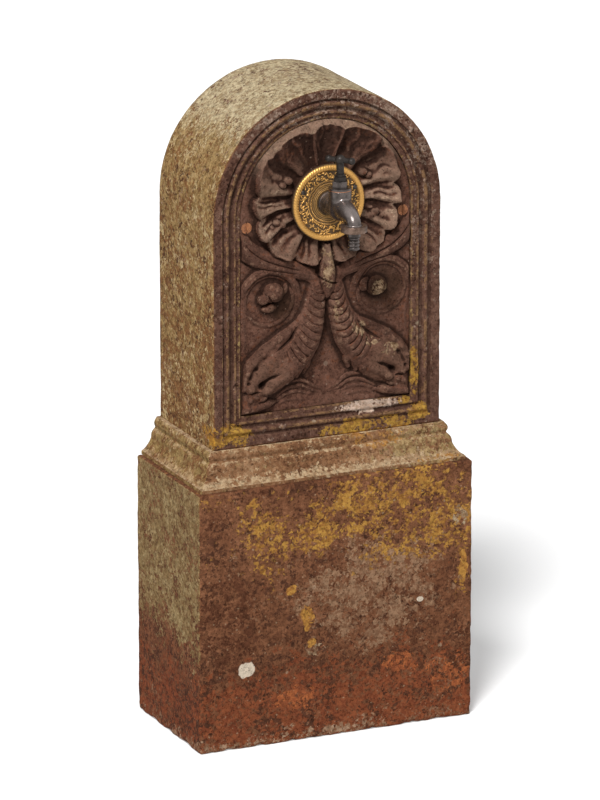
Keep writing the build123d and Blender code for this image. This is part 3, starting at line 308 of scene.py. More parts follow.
def tie_drills(foot, top):
    """Cutters for the four tie bolts between two levels."""
    places = [(side * TIE_X, y, foot) for side in (-1, 1) for y in TIE_YS]
    return [drill(place, 2, top - foot, TIE_HOLE_RADIUS) for place in places]


def core_block(front, foot, top):
    """Cutter for the passage from one casting to the next."""
    return block((-CORE_HALF, front, foot), (CORE_HALF, CORE_BACK, top))


def make_plinth(finish):
    """Box plinth with worn arrises, a broken foot and its hollow inside."""
    low, high = PLINTH_LOW, PLINTH_HIGH
    points, faces = box_skin(*[stations(low[axis], high[axis], PLINTH_STEP) for axis in range(3)])
    arris = PLINTH_ARRIS + 1.0 * wobble(points, 60, 11) + 0.6 * wobble(points, 17, 12)
    foot = smooth_step(28, 2, points[:, 2] - low[2])
    broken = np.clip(wobble(points, 34, 13) + 0.6 * wobble(points, 13, 14), 0, 1.2)
    arris = np.clip(arris + foot * (0.6 + 5.5 * broken), 1.2, 11)[:, None]
    core = np.clip(points, low + arris, high - arris)
    out = points - core
    reach = np.linalg.norm(out, axis=1)[:, None]
    piece = new_piece("weathered_plinth", core + out * arris / reach, faces)
    roughen(piece, lambda at: np.ones(len(at)), 20)
    rng = np.random.default_rng(5)
    spots = [(x, low[1], z) for x, z in zip(rng.uniform(*CHIPPED_X, 90), rng.uniform(*CHIPPED_Z, 90))]
    for side_x, count in ((low[0], 50), (high[0], 40)):
        across = rng.uniform(*CHIPPED_Y, count)
        spots += [(side_x, y, z) for y, z in zip(across, rng.uniform(*CHIPPED_Z, count))]
    chip(piece, spots, rng.uniform(3.5, 8, len(spots)), CHIP_DEPTH)
    edge = [(side * high[0], low[1], z) for side in (-1, 1) for z in rng.uniform(5, 395, 26)]
    edge += [(x, low[1], high[2]) for x in rng.uniform(*CHIPPED_X, 26)]
    chip(piece, edge, rng.uniform(4, 9, len(edge)), CHIP_DEPTH)
    points, _ = read_points(piece)
    write_points(piece, np.clip(points, low, high))

    wall = np.array([PLINTH_WALL, PLINTH_WALL, FLANGE_THICKNESS])
    mouth = PLINTH_WALL + FLANGE_WIDTH
    inside_low, inside_high = low + wall, high - wall
    below_top, above_top = inside_high[2] - CUT_MARGIN, high[2] + CUT_MARGIN
    cutters = [
        block(inside_low, inside_high),
        block(low + [mouth, mouth, -CUT_MARGIN], [high[0] - mouth, high[1] - mouth, MOUTH_TOP]),
        core_block(PLINTH_CORE_FRONT, below_top, above_top),
    ]
    hole_x = inside_high[0] - FLANGE_WIDTH / 2
    hole_y = inside_high[1] - FLANGE_WIDTH / 2
    for x in (-hole_x, hole_x):
        for y in (-hole_y, hole_y):
            foot_hole = (x, y, -CUT_MARGIN)
            cutters.append(drill(foot_hole, 2, FLANGE_THICKNESS + 2 * CUT_MARGIN, FOOT_HOLE_RADIUS))
    cutters += tie_drills(below_top, above_top)
    carve(piece, cutters)
    dress(piece, finish, "fountain", ["plinth_casing"])


def member_line(start, members, spacing=1.0):
    """Moulding line from a start point through members of run, rise and bulge."""
    line = [np.array(start, float)]
    for run, rise, bulge in members:
        foot = line[-1]
        step = np.array([run, rise], float)
        length = np.linalg.norm(step)
        side = np.array([-step[1], step[0]]) / length
        for share in np.linspace(0, 1, max(2, round(length / spacing)) + 1)[1:]:
            line.append(foot + step * share + side * bulge * 4 * share * (1 - share))
    return np.array(line)


def soften_line(line, passes):
    """Rounds the corners of a moulding line, as wear and paint do; its ends stay."""
    line = line.copy()
    for _ in range(passes):
        line[1:-1] = (line[:-2] + 2 * line[1:-1] + line[2:]) / 4
    return line


# Members of the cap from its ledge up: run inwards, rise and bulge outwards
CAP_LEDGE = 7.5
CAP_MEMBERS = (
    (0, 5.6, 0),
    (2.0, 0.2, 0),
    (13.7, 19.2, -1.9),
    (6.3, 13.5, 2.2),
    (0.2, 2.0, 0),
    (-0.2, 10.5, 1.9),
    (3.0, 4.0, 0),
)
CAP_WALL = 14.0
CAP_PLATE = 12.0
CAP_ARRIS = 2.2
CAP_SIDE_RUN = 234.0
CAP_FRONT_RUN = 446.0
CAP_STEP = 5.0
BEAD_INSET = 28.0
BEAD_RISE = 46.0
BUSH_HOLE_RADIUS = 15.03


def make_cap(finish):
    """Moulding on the front and both sides, hollow below its plate."""
    line = soften_line(member_line((CAP_LEDGE, 0), CAP_MEMBERS), 2)
    half = PLINTH_HIGH[0]
    front = PLINTH_LOW[1]
    share_side = stations(0, CAP_SIDE_RUN, CAP_STEP) / CAP_SIDE_RUN
    share_front = stations(0, CAP_FRONT_RUN, CAP_STEP) / CAP_FRONT_RUN
    share_back = np.linspace(0, 1, 60)
    rings = []
    for inset, rise in line:
        edge = half - inset
        near = front + inset
        left = [(-edge, BACK + (near - BACK) * share) for share in share_side[:-1]]
        face = [(-edge + 2 * edge * share, near) for share in share_front[:-1]]
        right = [(edge, near + (BACK - near) * share) for share in share_side[:-1]]
        rear = [(edge - 2 * edge * share, BACK) for share in share_back[:-1]]
        ring = np.array(left + face + right + rear)
        core = ring.copy()
        core[:, 0] = np.clip(core[:, 0], -edge + CAP_ARRIS, edge - CAP_ARRIS)
        core[:, 1] = np.clip(core[:, 1], near + CAP_ARRIS, BACK - CAP_ARRIS)
        out = ring - core
        reach = np.maximum(np.linalg.norm(out, axis=1), 1e-6)[:, None]
        ring = np.where(reach > 1e-5, core + out * CAP_ARRIS / reach, ring)
        rings.append(np.column_stack([ring, np.full(len(ring), CAP_LOW[2] + rise)]))
    count = len(rings[0])
    faces = strip_faces(len(rings), count, True)
    faces.append(list(range(count)))
    faces.append(list(range((len(rings) - 1) * count, len(rings) * count)))
    piece = new_piece("weathered_cap", np.vstack(rings), faces)

    def flat_ends(at):
        above_foot = smooth_step(0.5, 3, at[:, 2] - CAP_LOW[2])
        return 0.8 * above_foot * smooth_step(0.3, 2, CAP_HIGH[2] - at[:, 2])

    roughen(piece, flat_ends, 40)
    rng = np.random.default_rng(7)
    ledge_z = CAP_LOW[2] + 5
    bead_z = CAP_LOW[2] + BEAD_RISE
    edge = [(x, front + CAP_LEDGE, ledge_z) for x in rng.uniform(-210, 210, 34)]
    edge += [(-half + CAP_LEDGE, y, ledge_z) for y in rng.uniform(-105, 110, 18)]
    edge += [(x, front + BEAD_INSET, bead_z) for x in rng.uniform(-190, 190, 30)]
    for side_x in (BEAD_INSET - half, half - BEAD_INSET):
        edge += [(side_x, y, bead_z) for y in rng.uniform(-85, 110, 12)]
    chip(piece, edge, rng.uniform(3, 7, len(edge)), CHIP_DEPTH)

    inner = half - line[-1][0] - CAP_WALL
    inner_front = front + line[-1][0] + CAP_WALL
    top = CAP_HIGH[2] - CAP_PLATE
    below_plate, above_plate = top - CUT_MARGIN, CAP_HIGH[2] + CUT_MARGIN
    pipe = (0, (BUSH_LOW[1] + BUSH_HIGH[1]) / 2, below_plate)
    cutters = [
        block((-inner, inner_front, CAP_LOW[2] - CUT_MARGIN), (inner, BACK - CAP_WALL, top)),
        core_block(CAP_CORE_FRONT, below_plate, above_plate),
        drill(pipe, 2, CAP_PLATE + 2 * CUT_MARGIN, BUSH_HOLE_RADIUS),
    ]
    cutters += tie_drills(below_plate, above_plate)
    carve(piece, cutters)
    dress(piece, finish, "fountain", ["moulded_cap"])


# Members of the hood's frame from its outside edge inwards: run, depth and bulge into the metal
FRAME_MEMBERS = (
    (12.5, 0, 0),
    (0.2, 4.0, 0),
    (3.3, 0, 0),
    (9.0, 0, -3.6),
    (6.5, 0, 2.5),
    (0.2, -1.0, 0),
    (3.3, 0, 0),
    (0.2, 3.5, 0),
    (7.8, 0, 0),
    (0, 13.5, 0),
)
HOOD_ARRIS = 3.0
HOOD_WALL = 11.0
LIP_WIDTH = 22.0
LIP_THICKNESS = 12.0
STILE_STEPS = 88
HEAD_STEPS = 150
RAIL_STEPS = 94
HOOD_CHIP_DEPTH = 0.09


def arch_ring(inset, depth):
    """Closed ring at one inset and depth of the hood: left stile, head, right stile and foot rail."""
    half = HOOD_HALF - inset
    foot = HOOD_FOOT + inset
    rise = np.linspace(foot, max(SPRING, foot), STILE_STEPS, endpoint=False)
    turn = np.linspace(math.pi, 0, HEAD_STEPS, endpoint=False)
    fall = np.linspace(SPRING, foot, STILE_STEPS, endpoint=False)
    across = np.linspace(half, -half, RAIL_STEPS, endpoint=False)
    left = np.column_stack([np.full(STILE_STEPS, -half), rise])
    head = np.column_stack([half * np.cos(turn), SPRING + half * np.sin(turn)])
    right = np.column_stack([np.full(STILE_STEPS, half), fall])
    rail = np.column_stack([across, np.full(RAIL_STEPS, foot)])
    ring = np.vstack([left, head, right, rail])
    return np.column_stack([ring[:, 0], np.full(len(ring), HOOD_FRONT + depth), ring[:, 1]])


def make_hood(finish):
    """Round-headed casing with its moulded frame, lip and hollow."""
    deep = BACK - HOOD_FRONT
    lip_front = PANEL_BACK - HOOD_FRONT
    lip_back = lip_front + LIP_THICKNESS
    frame_line = soften_line(member_line((HOOD_ARRIS, 0), FRAME_MEMBERS, 0.9), 1)
    opening = frame_line[-1][0]
    turn = np.linspace(0, math.pi / 2, 5)[1:-1]
    front_arris = [(HOOD_ARRIS * (1 - math.cos(a)), HOOD_ARRIS * (1 - math.sin(a))) for a in turn]
    side = [(0, depth) for depth in np.linspace(HOOD_ARRIS, deep - 2, 44)]
    rear = [(inset, deep) for inset in np.linspace(2, HOOD_HALF, 30)]
    inside = [(inset, deep - HOOD_WALL) for inset in np.linspace(HOOD_HALF, HOOD_WALL, 8)]
    inside += [(HOOD_WALL, depth) for depth in np.linspace(deep - HOOD_WALL, lip_back, 8)[1:]]
    inside += [(opening + LIP_WIDTH, lip_back), (opening + LIP_WIDTH, lip_front)]
    line = inside + [tuple(at) for at in frame_line[::-1]] + front_arris[::-1] + side + rear
    rings = np.vstack([arch_ring(inset, depth) for inset, depth in line])
    count = len(rings) // len(line)
    piece = new_piece("weathered_hood", rings, strip_faces(len(line), count, True))

    def outside(at):
        inward = np.clip(at[:, 1] - HOOD_FRONT, 0, None)
        wide = np.where(at[:, 2] > SPRING, np.hypot(at[:, 0], at[:, 2] - SPRING), np.abs(at[:, 0]))
        skin = np.maximum(smooth_step(HOOD_HALF - 4, HOOD_HALF - 1, wide), smooth_step(9, 5, inward) * 0.6)
        return 0.65 * np.maximum(skin, at[:, 1] > BACK - 3) * smooth_step(0, 5, at[:, 2] - HOOD_FOOT)

    roughen(piece, outside, 60)
    rng = np.random.default_rng(9)
    edge = []
    for a in rng.uniform(-0.15 * math.pi, 1.15 * math.pi, 44):
        edge.append((HOOD_HALF * math.cos(a), HOOD_FRONT, SPRING + HOOD_HALF * math.sin(a)))
    edge += [(side_x * HOOD_HALF, HOOD_FRONT, z) for side_x in (-1, 1) for z in rng.uniform(460, 790, 26)]
    edge += [(-HOOD_HALF, y, z) for y, z in zip(rng.uniform(-80, 115, 60), rng.uniform(460, 800, 60))]
    chip(piece, edge, rng.uniform(3, 6.5, len(edge)), HOOD_CHIP_DEPTH)

    below_rail, above_rail = HOOD_FOOT - CUT_MARGIN, HOOD_FOOT + HOOD_WALL + CUT_MARGIN
    cutters = [core_block(HOOD_FRONT + lip_back, below_rail, above_rail)]
    cutters += tie_drills(below_rail, above_rail)
    for side_x in (-SCREW_X, SCREW_X):
        screw = (side_x, PANEL_BACK - CUT_MARGIN, SCREW_Z)
        cutters.append(drill(screw, 1, LIP_THICKNESS + 2 * CUT_MARGIN, SCREW_HOLE_RADIUS))
    carve(piece, cutters)
    points, _ = read_points(piece)
    on_head = HOOD_HALF - np.hypot(points[:, 0], points[:, 2] - SPRING)
    on_stile = np.minimum(HOOD_HALF - np.abs(points[:, 0]), points[:, 2] - HOOD_FOOT)
    inset = np.where(points[:, 2] > SPRING, on_head, on_stile)
    on_frame = (points[:, 1] < PANEL_BACK) & (inset > HOOD_ARRIS - 1)
    # Depth of the frame's grooves below its softened line: low values get painted shade in the grooves,
    # high ones a paler bead that is partly painted highlight
    sunk = frame_line[:, 1] - soften_line(frame_line, 120)[:, 1]
    crest = 0.5 - np.interp(inset, frame_line[:, 0], sunk) / 6
    write_values(piece, "inner_edge", np.where(on_frame, smooth_step(opening - 7, opening - 4, inset), 0))
    write_values(piece, "crest", np.where(on_frame, crest, 0.5))
    write_values(piece, "moulded", np.where(on_frame, 1.0, 0.0))
    dress(piece, finish, "fountain", ["hood_casing"], 45)


# Relief on the panel, as heights in millimetres proud of its face

def curve_through(stations_at, per_span=8):
    """Points along a smooth curve through given stations."""
    at = np.asarray(stations_at, float)
    ends = np.vstack([2 * at[0] - at[1], at, 2 * at[-1] - at[-2]])
    line = []
    for index in range(len(at) - 1):
        before, start, end, after = ends[index:index + 4]
        for share in np.linspace(0, 1, per_span, endpoint=False):
            linear = (end - before) * share
            square = (2 * before - 5 * start + 4 * end - after) * share ** 2
            cube = (3 * start - before - 3 * end + after) * share ** 3
            line.append((2 * start + linear + square + cube) / 2)
    line.append(at[-1])
    return np.array(line)


def along_curve(line, x, z):
    """Share along a line and distance from it, positive on the left of its travel, for each point."""
    step = np.diff(line, axis=0)
    length = np.hypot(step[:, 0], step[:, 1])
    travelled = np.concatenate([[0], np.cumsum(length)])
    best = np.full(x.shape, np.inf)
    share = np.zeros(x.shape)
    side = np.ones(x.shape)
    for index, (foot_x, foot_z) in enumerate(line[:-1]):
        way_x, way_z = step[index] / length[index]
        off_x = x - foot_x
        off_z = z - foot_z
        along = np.clip(off_x * way_x + off_z * way_z, 0, length[index])
        distance = np.hypot(off_x - along * way_x, off_z - along * way_z)
        closer = distance < best
        best[closer] = distance[closer]
        share[closer] = (travelled[index] + along[closer]) / travelled[-1]
        side[closer] = np.where(way_x * off_z - way_z * off_x < 0, -1, 1)[closer]
    return share, best * side, travelled[-1]


class Relief:
    """Heights over the points of the panel, built up stroke by stroke."""

    def __init__(self, x, z):
        self.x = x
        self.z = z
        self.height = np.zeros_like(x)

    def across(self, both):
        """Distance across the panel; both sides share one drawing where asked."""
        return np.abs(self.x) if both else self.x

    def near(self, line, reach, both):
        """Points within reach of a line."""
        x = self.across(both)
        low = line.min(axis=0) - reach
        high = line.max(axis=0) + reach
        found = np.nonzero((x > low[0]) & (x < high[0]) & (self.z > low[1]) & (self.z < high[1]))[0]
        return found, x[found], self.z[found]

    def follow(self, stations_at, reach, ends, both):
        """Points near a curve, their distance from it and how full a stroke is beside them."""
        line = curve_through(stations_at)
        found, x, z = self.near(line, reach, both)
        share, off, _ = along_curve(line, x, z)
        return found, off, taper(share, ends)

    def cord(self, stations_at, width, height, ends=(0.35, 0.35), blend=2.0, both=True):
        """Half-round cord laid on the ground, thinner at its ends."""
        found, off, grow = self.follow(stations_at, width, ends, both)
        dome = height * grow * np.sqrt(np.clip(1 - (off / (width * grow)) ** 2, 0, 1))
        raised = smooth_max(self.height[found], dome, blend)
        self.height[found] = np.where(dome > 0, raised, self.height[found])

    def stroke(self, stations_at, width, height, ends=(0.35, 0.35), both=True, above=None):
        """Soft ridge, or groove where height is negative, added to what is there."""
        found, off, grow = self.follow(stations_at, width * 1.6, ends, both)
        lift = height * grow * np.exp(-(off / (0.6 * width * grow)) ** 2)
        if above is not None:
            lift *= smooth_step(above - 2, above + 2, self.height[found])
        self.height[found] += lift

    def lump(self, centre, radii, height, turn=0.0, blend=2.0, both=True):
        """Half of a ball or egg."""
        u, v = self.turned(centre, radii, turn, both)
        dome = np.clip(1 - u * u - v * v, 0, None)
        raised = smooth_max(self.height, height * np.sqrt(dome), blend)
        self.height = np.where(dome > 0, raised, self.height)

    def swell(self, centre, radii, height, turn=0.0, both=True):
        """Soft bump or dent added to what is there."""
        u, v = self.turned(centre, radii, turn, both)
        self.height = self.height + height * np.exp(-1.6 * (u * u + v * v))

    def turned(self, centre, radii, turn, both):
        """Places along and across an egg, as shares of its radii."""
        cosine = math.cos(math.radians(turn))
        sine = math.sin(math.radians(turn))
        off_x = self.across(both) - centre[0]
        off_z = self.z - centre[1]
        return (off_x * cosine + off_z * sine) / radii[0], (off_z * cosine - off_x * sine) / radii[1]


def taper(share, ends):
    """Size along a stroke, from its share at the start to its share at the end."""
    grow_in = ends[0] + (1 - ends[0]) * smooth_step(0, 0.3, share)
    grow_out = ends[1] + (1 - ends[1]) * smooth_step(1, 0.7, share)
    return np.minimum(grow_in, grow_out)


# Edges of the shell's lobes in degrees from the top, the same on both sides
LOBE_EDGES = np.array([15, 49, 80, 98, 119, 147, 174.0])
SHELL_ROOT = 56.0
SHELL_REACH = 116.0
SHELL_LIP = 13.5
SHELL_FLOOR = -3.5
LAST_LOBE_END = 186.0
PLEATS_PER_LOBE = 3
PLEAT_HEIGHT = 1.15
# How far a lobe stands over the next at the shell's root, and how much more at its rim
ROOT_OVERLAP = 11.0
RIM_OVERLAP = 6.0


def shell_height(x, z):
    """Bowl of overlapping lobes, one at the top and six down each side, and which points are inside it."""
    at = np.column_stack([x, z])
    off_z = z - INLET_Z
    radius = np.hypot(x, off_z)
    from_top = np.degrees(np.arctan2(np.abs(x), off_z)) + 1.4 * wobble(at, 55, 26)
    lobe = np.searchsorted(LOBE_EDGES, from_top)
    low = np.concatenate([[-LOBE_EDGES[0]], LOBE_EDGES])[lobe]
    high = np.concatenate([LOBE_EDGES, [LAST_LOBE_END]])[lobe]
    down = np.clip((from_top - low) / (high - low), 0, 1)
    across = np.abs(2 * down - 1)
    shorter = smooth_step(112, 165, from_top)
    wider = np.exp(-((from_top - 47) / 24) ** 2)
    rim = SHELL_REACH + 8 * wider - 22 * shorter - 9 * across ** 3 + 0.9 * wobble(at, 12, 21)
    out = np.clip((radius - SHELL_ROOT) / (rim - SHELL_ROOT), 0, 1)
    overlap = down ** 1.3 * smooth_step(1.0, 0.76, down)
    overlap = np.where(lobe == 0, across ** 2 * smooth_step(1.0, 0.8, across), overlap) - 0.25
    pleat = np.cos(2 * math.pi * PLEATS_PER_LOBE * down + 1.6 * wobble(at, 34, 27)) * (1 - across ** 4)
    bowl = SHELL_FLOOR + (SHELL_LIP - SHELL_FLOOR) * out ** 2.0
    bowl += (ROOT_OVERLAP + RIM_OVERLAP * out) * overlap + PLEAT_HEIGHT * smooth_step(0, 0.5, out) * pleat
    bowl += 0.3 * wobble(at, 12, 23) + 0.12 * wobble(at, 6, 24)
    lip = SHELL_LIP + (ROOT_OVERLAP + RIM_OVERLAP) * overlap + PLEAT_HEIGHT * pleat
    flank = 3.0 + 13.0 * smooth_step(80, 30, from_top)
    outside = lip * (1 - smooth_step(0, 1, (radius - rim) / flank))
    inside = radius < rim
    return np.where(inside, bowl, outside), inside


# Dolphin from its tail at the bud to its nose at the foot: x, z, half width and height
DOLPHIN = (
    (14, 700, 12, 9),
    (18, 668, 17, 14),
    (25, 640, 22, 21),
    (35, 614, 26, 24),
    (52, 591, 29, 22),
    (78, 571, 32, 17),
    (102, 552, 28, 12),
    (118, 532, 19, 9),
    (128, 514, 10, 6),
)
DOLPHIN_REACH = 36.0
PLATE_SPACING = 11.0
PLATE_HEIGHT = 4.0
PLATE_SINK = 2.8
BODY_CREST = -0.25


def carve_dolphins(relief):
    """Bodies that drop steeply on the inside and run out gently on the outside, with belly plates."""
    stations_at = np.array(DOLPHIN, float)
    line = curve_through(stations_at[:, :2])
    found, x, z = relief.near(line, DOLPHIN_REACH, True)
    share, off, length = along_curve(line, x, z)
    steps = np.hypot(*np.diff(stations_at[:, :2], axis=0).T)
    at = np.concatenate([[0], np.cumsum(steps)]) / steps.sum()
    girth = np.interp(share, at, stations_at[:, 2])
    side = off / girth
    inner = np.clip((BODY_CREST - side) / (1 + BODY_CREST), 0, 1)
    outer = np.clip((side - BODY_CREST) / (1 - BODY_CREST), 0, 1)
    section = np.where(side < BODY_CREST, (1 - inner ** 2.2) ** 0.6, (1 - outer ** 2.1) ** 0.85)
    body = np.interp(share, at, stations_at[:, 3]) * section
    smooth_from = np.interp(share, (0.28, 0.4), (-1.0, -0.62))
    belly = smooth_step(0.8, 0.45, side) * smooth_step(0.0, 0.12, side - smooth_from)
    belly = belly * smooth_step(0.62, 0.52, share) * smooth_step(0.04, 0.12, share)
    count = (share * length + 9.0 * (side + 0.3) ** 2) / PLATE_SPACING
    through = count - np.floor(count)
    plate = 1 - np.abs(2 * through - 1) ** 3
    body += belly * (PLATE_HEIGHT * plate - PLATE_SINK)
    raised = smooth_max(relief.height[found], body, 3.5)
    relief.height[found] = np.where(np.abs(side) < 1, raised, relief.height[found])


VOLUTE = (91.0, 674.0)
VOLUTE_RADIUS = 38.0
VOLUTE_HOLLOW = 3.8
VOLUTE_CORD = 2.9
VOLUTE_CORD_HALF = 3.0
ROLL_RADIUS = 46.0
ROLL_HEIGHT = 8.0
ROLL_HALF = 6.5


def ring_dome(radius, ring, half):
    """Half-round section of a ring, from 0 at its edges to 1 on its crest."""
    return np.sqrt(np.clip(1 - ((radius - ring) / half) ** 2, 0, 1))


def carve_volutes(relief):
    """Rings with a hollow inside and a roll round their upper half."""
    off_x = np.abs(relief.x) - VOLUTE[0]
    off_z = relief.z - VOLUTE[1]
    ring = np.hypot(off_x, off_z)
    upper = smooth_step(-8, 26, off_z)
    relief.height -= VOLUTE_HOLLOW * smooth_step(VOLUTE_RADIUS, VOLUTE_RADIUS - 12, ring)
    cord = VOLUTE_CORD * ring_dome(ring, VOLUTE_RADIUS, VOLUTE_CORD_HALF)
    relief.height = smooth_max(relief.height, cord, 1.5)
    roll = ROLL_HEIGHT * upper * ring_dome(ring, ROLL_RADIUS, ROLL_HALF)
    relief.height = smooth_max(relief.height, roll, 2.0)
    relief.height -= 1.8 * upper * np.exp(-((ring - ROLL_RADIUS - 0.5) / 1.5) ** 2)


def carve_tail_leaves(relief):
    """Leaves that sweep from the bud over the volutes and widen to the panel's edges."""
    broad = [(14, 702), (37, 712), (62, 723), (92, 731), (118, 745), (140, 764)]
    narrow = [(20, 712), (44, 724), (74, 735), (104, 748), (124, 764), (136, 784)]
    relief.cord(broad, 14, 11, (0.55, 1.0), 4)
    relief.cord(narrow, 8, 9, (0.5, 0.6), 4)
    relief.stroke([(26, 709), (56, 722), (92, 734), (118, 750), (138, 772)], 2.4, -3.4, (0.5, 0.8))
    relief.stroke([(30, 706), (62, 716), (96, 723), (122, 731), (138, 742)], 2.4, -2.8, (0.4, 0.8))
    relief.cord([(12, 690), (24, 704), (40, 712), (58, 716)], 9, 8, (0.9, 0.4), 4)


# Gill plates of the head from the nape to the cheek, each along its free edge
GILL_PLATES = (
    ((62, 606), (48, 600), (38, 588), (33, 574), (37, 560)),
    ((72, 592), (59, 588), (50, 578), (46, 566), (49, 554)),
    ((80, 577), (69, 574), (61, 565), (59, 555), (64, 546)),
)


def carve_heads(relief):
    """Crest with pits behind it, broad brow, gill plates, gaping mouth, cheek, curled lips and beak."""
    for count, plate in enumerate(GILL_PLATES):
        relief.cord(plate, 7.5, 14.0 + 1.2 * count, (0.6, 0.5), 2.0)
    crest = [(42, 646), (54, 630), (72, 616), (96, 602), (118, 584), (131, 565), (134, 548)]
    relief.cord(crest, 10, 13, (0.3, 0.8), 7)
    relief.cord([(60, 610), (76, 597), (92, 582), (106, 568), (117, 553)], 15, 16.5, (0.5, 0.8), 9)
    relief.stroke([(50, 630), (60, 615), (74, 604), (88, 597)], 3.4, -4.0, (0.4, 0.2))
    for x, z in ((64, 625), (77, 617), (90, 608), (104, 596), (119, 583), (130, 569)):
        relief.swell((x, z), (6.0, 5.0), 4.4, -40)
    relief.swell((115, 574), (5.0, 4.0), -4.0, -40)
    relief.cord([(58, 560), (70, 556), (84, 549), (98, 541)], 9, 16.5, (0.6, 1.0), 2.5)
    relief.lump((98, 540), (11, 8.5), 19, -20, 2.5)
    relief.stroke([(80, 562), (94, 556), (106, 549)], 5.0, -6.5, (0.4, 1.0))
    relief.swell((107, 548), (8, 6.5), -9.0, -20)
    relief.lump((123, 546), (10, 10), 13.5, 0, 3.0)
    relief.swell((127, 552), (3.5, 3.0), -4.0)
    relief.lump((115, 532), (6.5, 5.0), 14, 0, 2.0)
    relief.lump((124, 528), (6.5, 5.5), 12, -30, 2.0)
    relief.lump((103, 528), (8, 5), 11.5, -20, 2.5)
    relief.stroke([(108, 538), (116, 538.5), (126, 537)], 2.2, -4.0)
    relief.cord([(78, 520), (98, 518), (116, 514), (134, 509)], 7.5, 9, (0.3, 0.9), 3)
    relief.lump((129, 511), (6, 5.5), 11, 0, 2.0)


def carve_waves(relief):
    """Wave lines along the foot and a low ridge at each side."""
    relief.cord([(3, 526), (18, 533), (36, 546), (58, 547), (80, 535), (98, 525)], 3.4, 3.8, (0.3, 0.4))
    relief.cord([(5, 522), (20, 528), (40, 538), (60, 537), (80, 526)], 2.8, 3.0, (0.3, 0.4))
    relief.cord([(22, 521), (44, 529), (64, 528), (86, 518)], 2.6, 2.6, (0.3, 0.3))
    relief.cord([(30, 514), (56, 519), (80, 514)], 2.2, 1.8, (0.3, 0.3))
    relief.cord([(137, 672), (131, 640), (130, 615), (135, 590)], 2.4, 2.0)


# Pearls in the shell, on both sides: x, z and radius
PEARLS = ((60, 853, 5.5), (69, 848, 4.6), (79, 790, 5.5), (70, 786, 5.0), (87, 784, 4))


def carve_shell(relief):
    """The shell, sunk about the escutcheon, with the pearls between its lobes."""
    found = np.nonzero(np.hypot(relief.x, relief.z - INLET_Z) < 140)[0]
    shell, inside = shell_height(relief.x[found], relief.z[found])
    raised = np.where(shell > 0, smooth_max(relief.height[found], shell, 2.0), relief.height[found])
    relief.height[found] = np.where(inside, shell, raised)
    for x, z, radius in PEARLS:
        relief.lump((x, z), (radius * 1.25, radius), 8.5, 20, 2.0)


# Bud from its neck to its foot: z, half width and height
BUD = (
    (752, 5, 15),
    (738, 7.5, 18),
    (722, 11, 20),
    (709, 14, 21),
    (698, 13, 20),
    (684, 12, 17),
    (672, 7, 11),
    (666, 2, 4),
)


def carve_bud(relief):
    """Pear-shaped bud below the shell and the two unlike knobs in the volutes."""
    levels, widths, heights = np.array(BUD[::-1], float).T
    wide = np.interp(relief.z, levels, widths)
    dome = np.clip(1 - (relief.x / wide) ** 2, 0, None)
    bud = np.interp(relief.z, levels, heights) * np.sqrt(dome)
    on_bud = (dome > 0) & (relief.z > levels[0]) & (relief.z < levels[-1])
    relief.height = np.where(on_bud, smooth_max(relief.height, bud, 1.5), relief.height)
    relief.stroke([(-14, 704), (-6, 698), (4, 694), (14, 691)], 2.2, -6.0, (0.8, 0.8), both=False)
    relief.stroke([(-4, 742), (-7, 720), (-6, 704)], 1.8, -1.8, both=False)
    relief.lump((-86, 686), (17, 16), 20, blend=1.5, both=False)
    relief.lump((-101, 678), (9.5, 8), 15, 30, 1.0, False)
    relief.lump((-92, 663), (12, 7), 14, 8, 1.0, False)
    relief.stroke([(-98, 692), (-95, 681), (-87, 672), (-74, 670)], 1.6, -5.0, both=False)
    relief.lump((-67, 690), (5, 10), 11, -15, both=False)
    relief.lump((81, 679), (16.5, 15.5), 20, blend=1.5, both=False)
    relief.lump((63, 683), (10, 11), 10, -20, both=False)
    relief.stroke([(70, 694), (65, 683), (69, 670)], 1.8, -4.0, both=False)
    relief.stroke([(72, 689), (82, 691), (93, 685), (95, 675)], 1.4, -1.8, both=False)


BOSS_RADIUS = 54.0


def relief_height(x, z):
    """Height of the whole relief over points of the panel."""
    at = np.column_stack([x, z])
    bent_x = x + 0.9 * wobble(at, 90, 3) + 0.35 * wobble(at, 22, 4)
    bent_z = z + 0.9 * wobble(at, 90, 5) + 0.35 * wobble(at, 22, 6)
    relief = Relief(bent_x, bent_z)
    carve_volutes(relief)
    carve_tail_leaves(relief)
    carve_dolphins(relief)
    carve_heads(relief)
    carve_waves(relief)
    carve_shell(relief)
    carve_bud(relief)
    height = relief.height + 0.18 * wobble(at, 15, 8) + 0.12 * wobble(at, 6, 9)
    to_screw = np.hypot(np.abs(x) - SCREW_X, z - SCREW_Z)
    height *= smooth_step(SCREW_HEAD + 1, SCREW_HEAD + 7, to_screw)
    to_shank = np.hypot(x, z - INLET_Z)
    boss = PANEL_FACE - DISC_BACK
    height = np.where(to_shank < DISC_RADIUS + 2, np.minimum(height, boss - 1.0), height)
    return np.where(to_shank < BOSS_RADIUS, boss, height)


PANEL_STEP = 1.3
SHANK_CUT_START = -110.0
SHANK_CUT_LENGTH = 60.0


# Hollows and crests, told from heights blurred less and more, for painted shade in the hollows and beside
# tall forms and a partly painted highlight on the crests: passes, lowest, highest and divisor
CREST_SCALES = ((90, -5, 2.2, 14), (400, -3, 0, 30), (10, -1.5, 1.5, 4))


def blurred(grid, passes):
    """Grid of heights averaged with its neighbours, for finding its hollows."""
    for _ in range(passes):
        wide = np.pad(grid, 1, mode="edge")
        grid = (wide[:-2, 1:-1] + wide[2:, 1:-1] + wide[1:-1, :-2] + wide[1:-1, 2:] + 4 * grid) / 8
    return grid


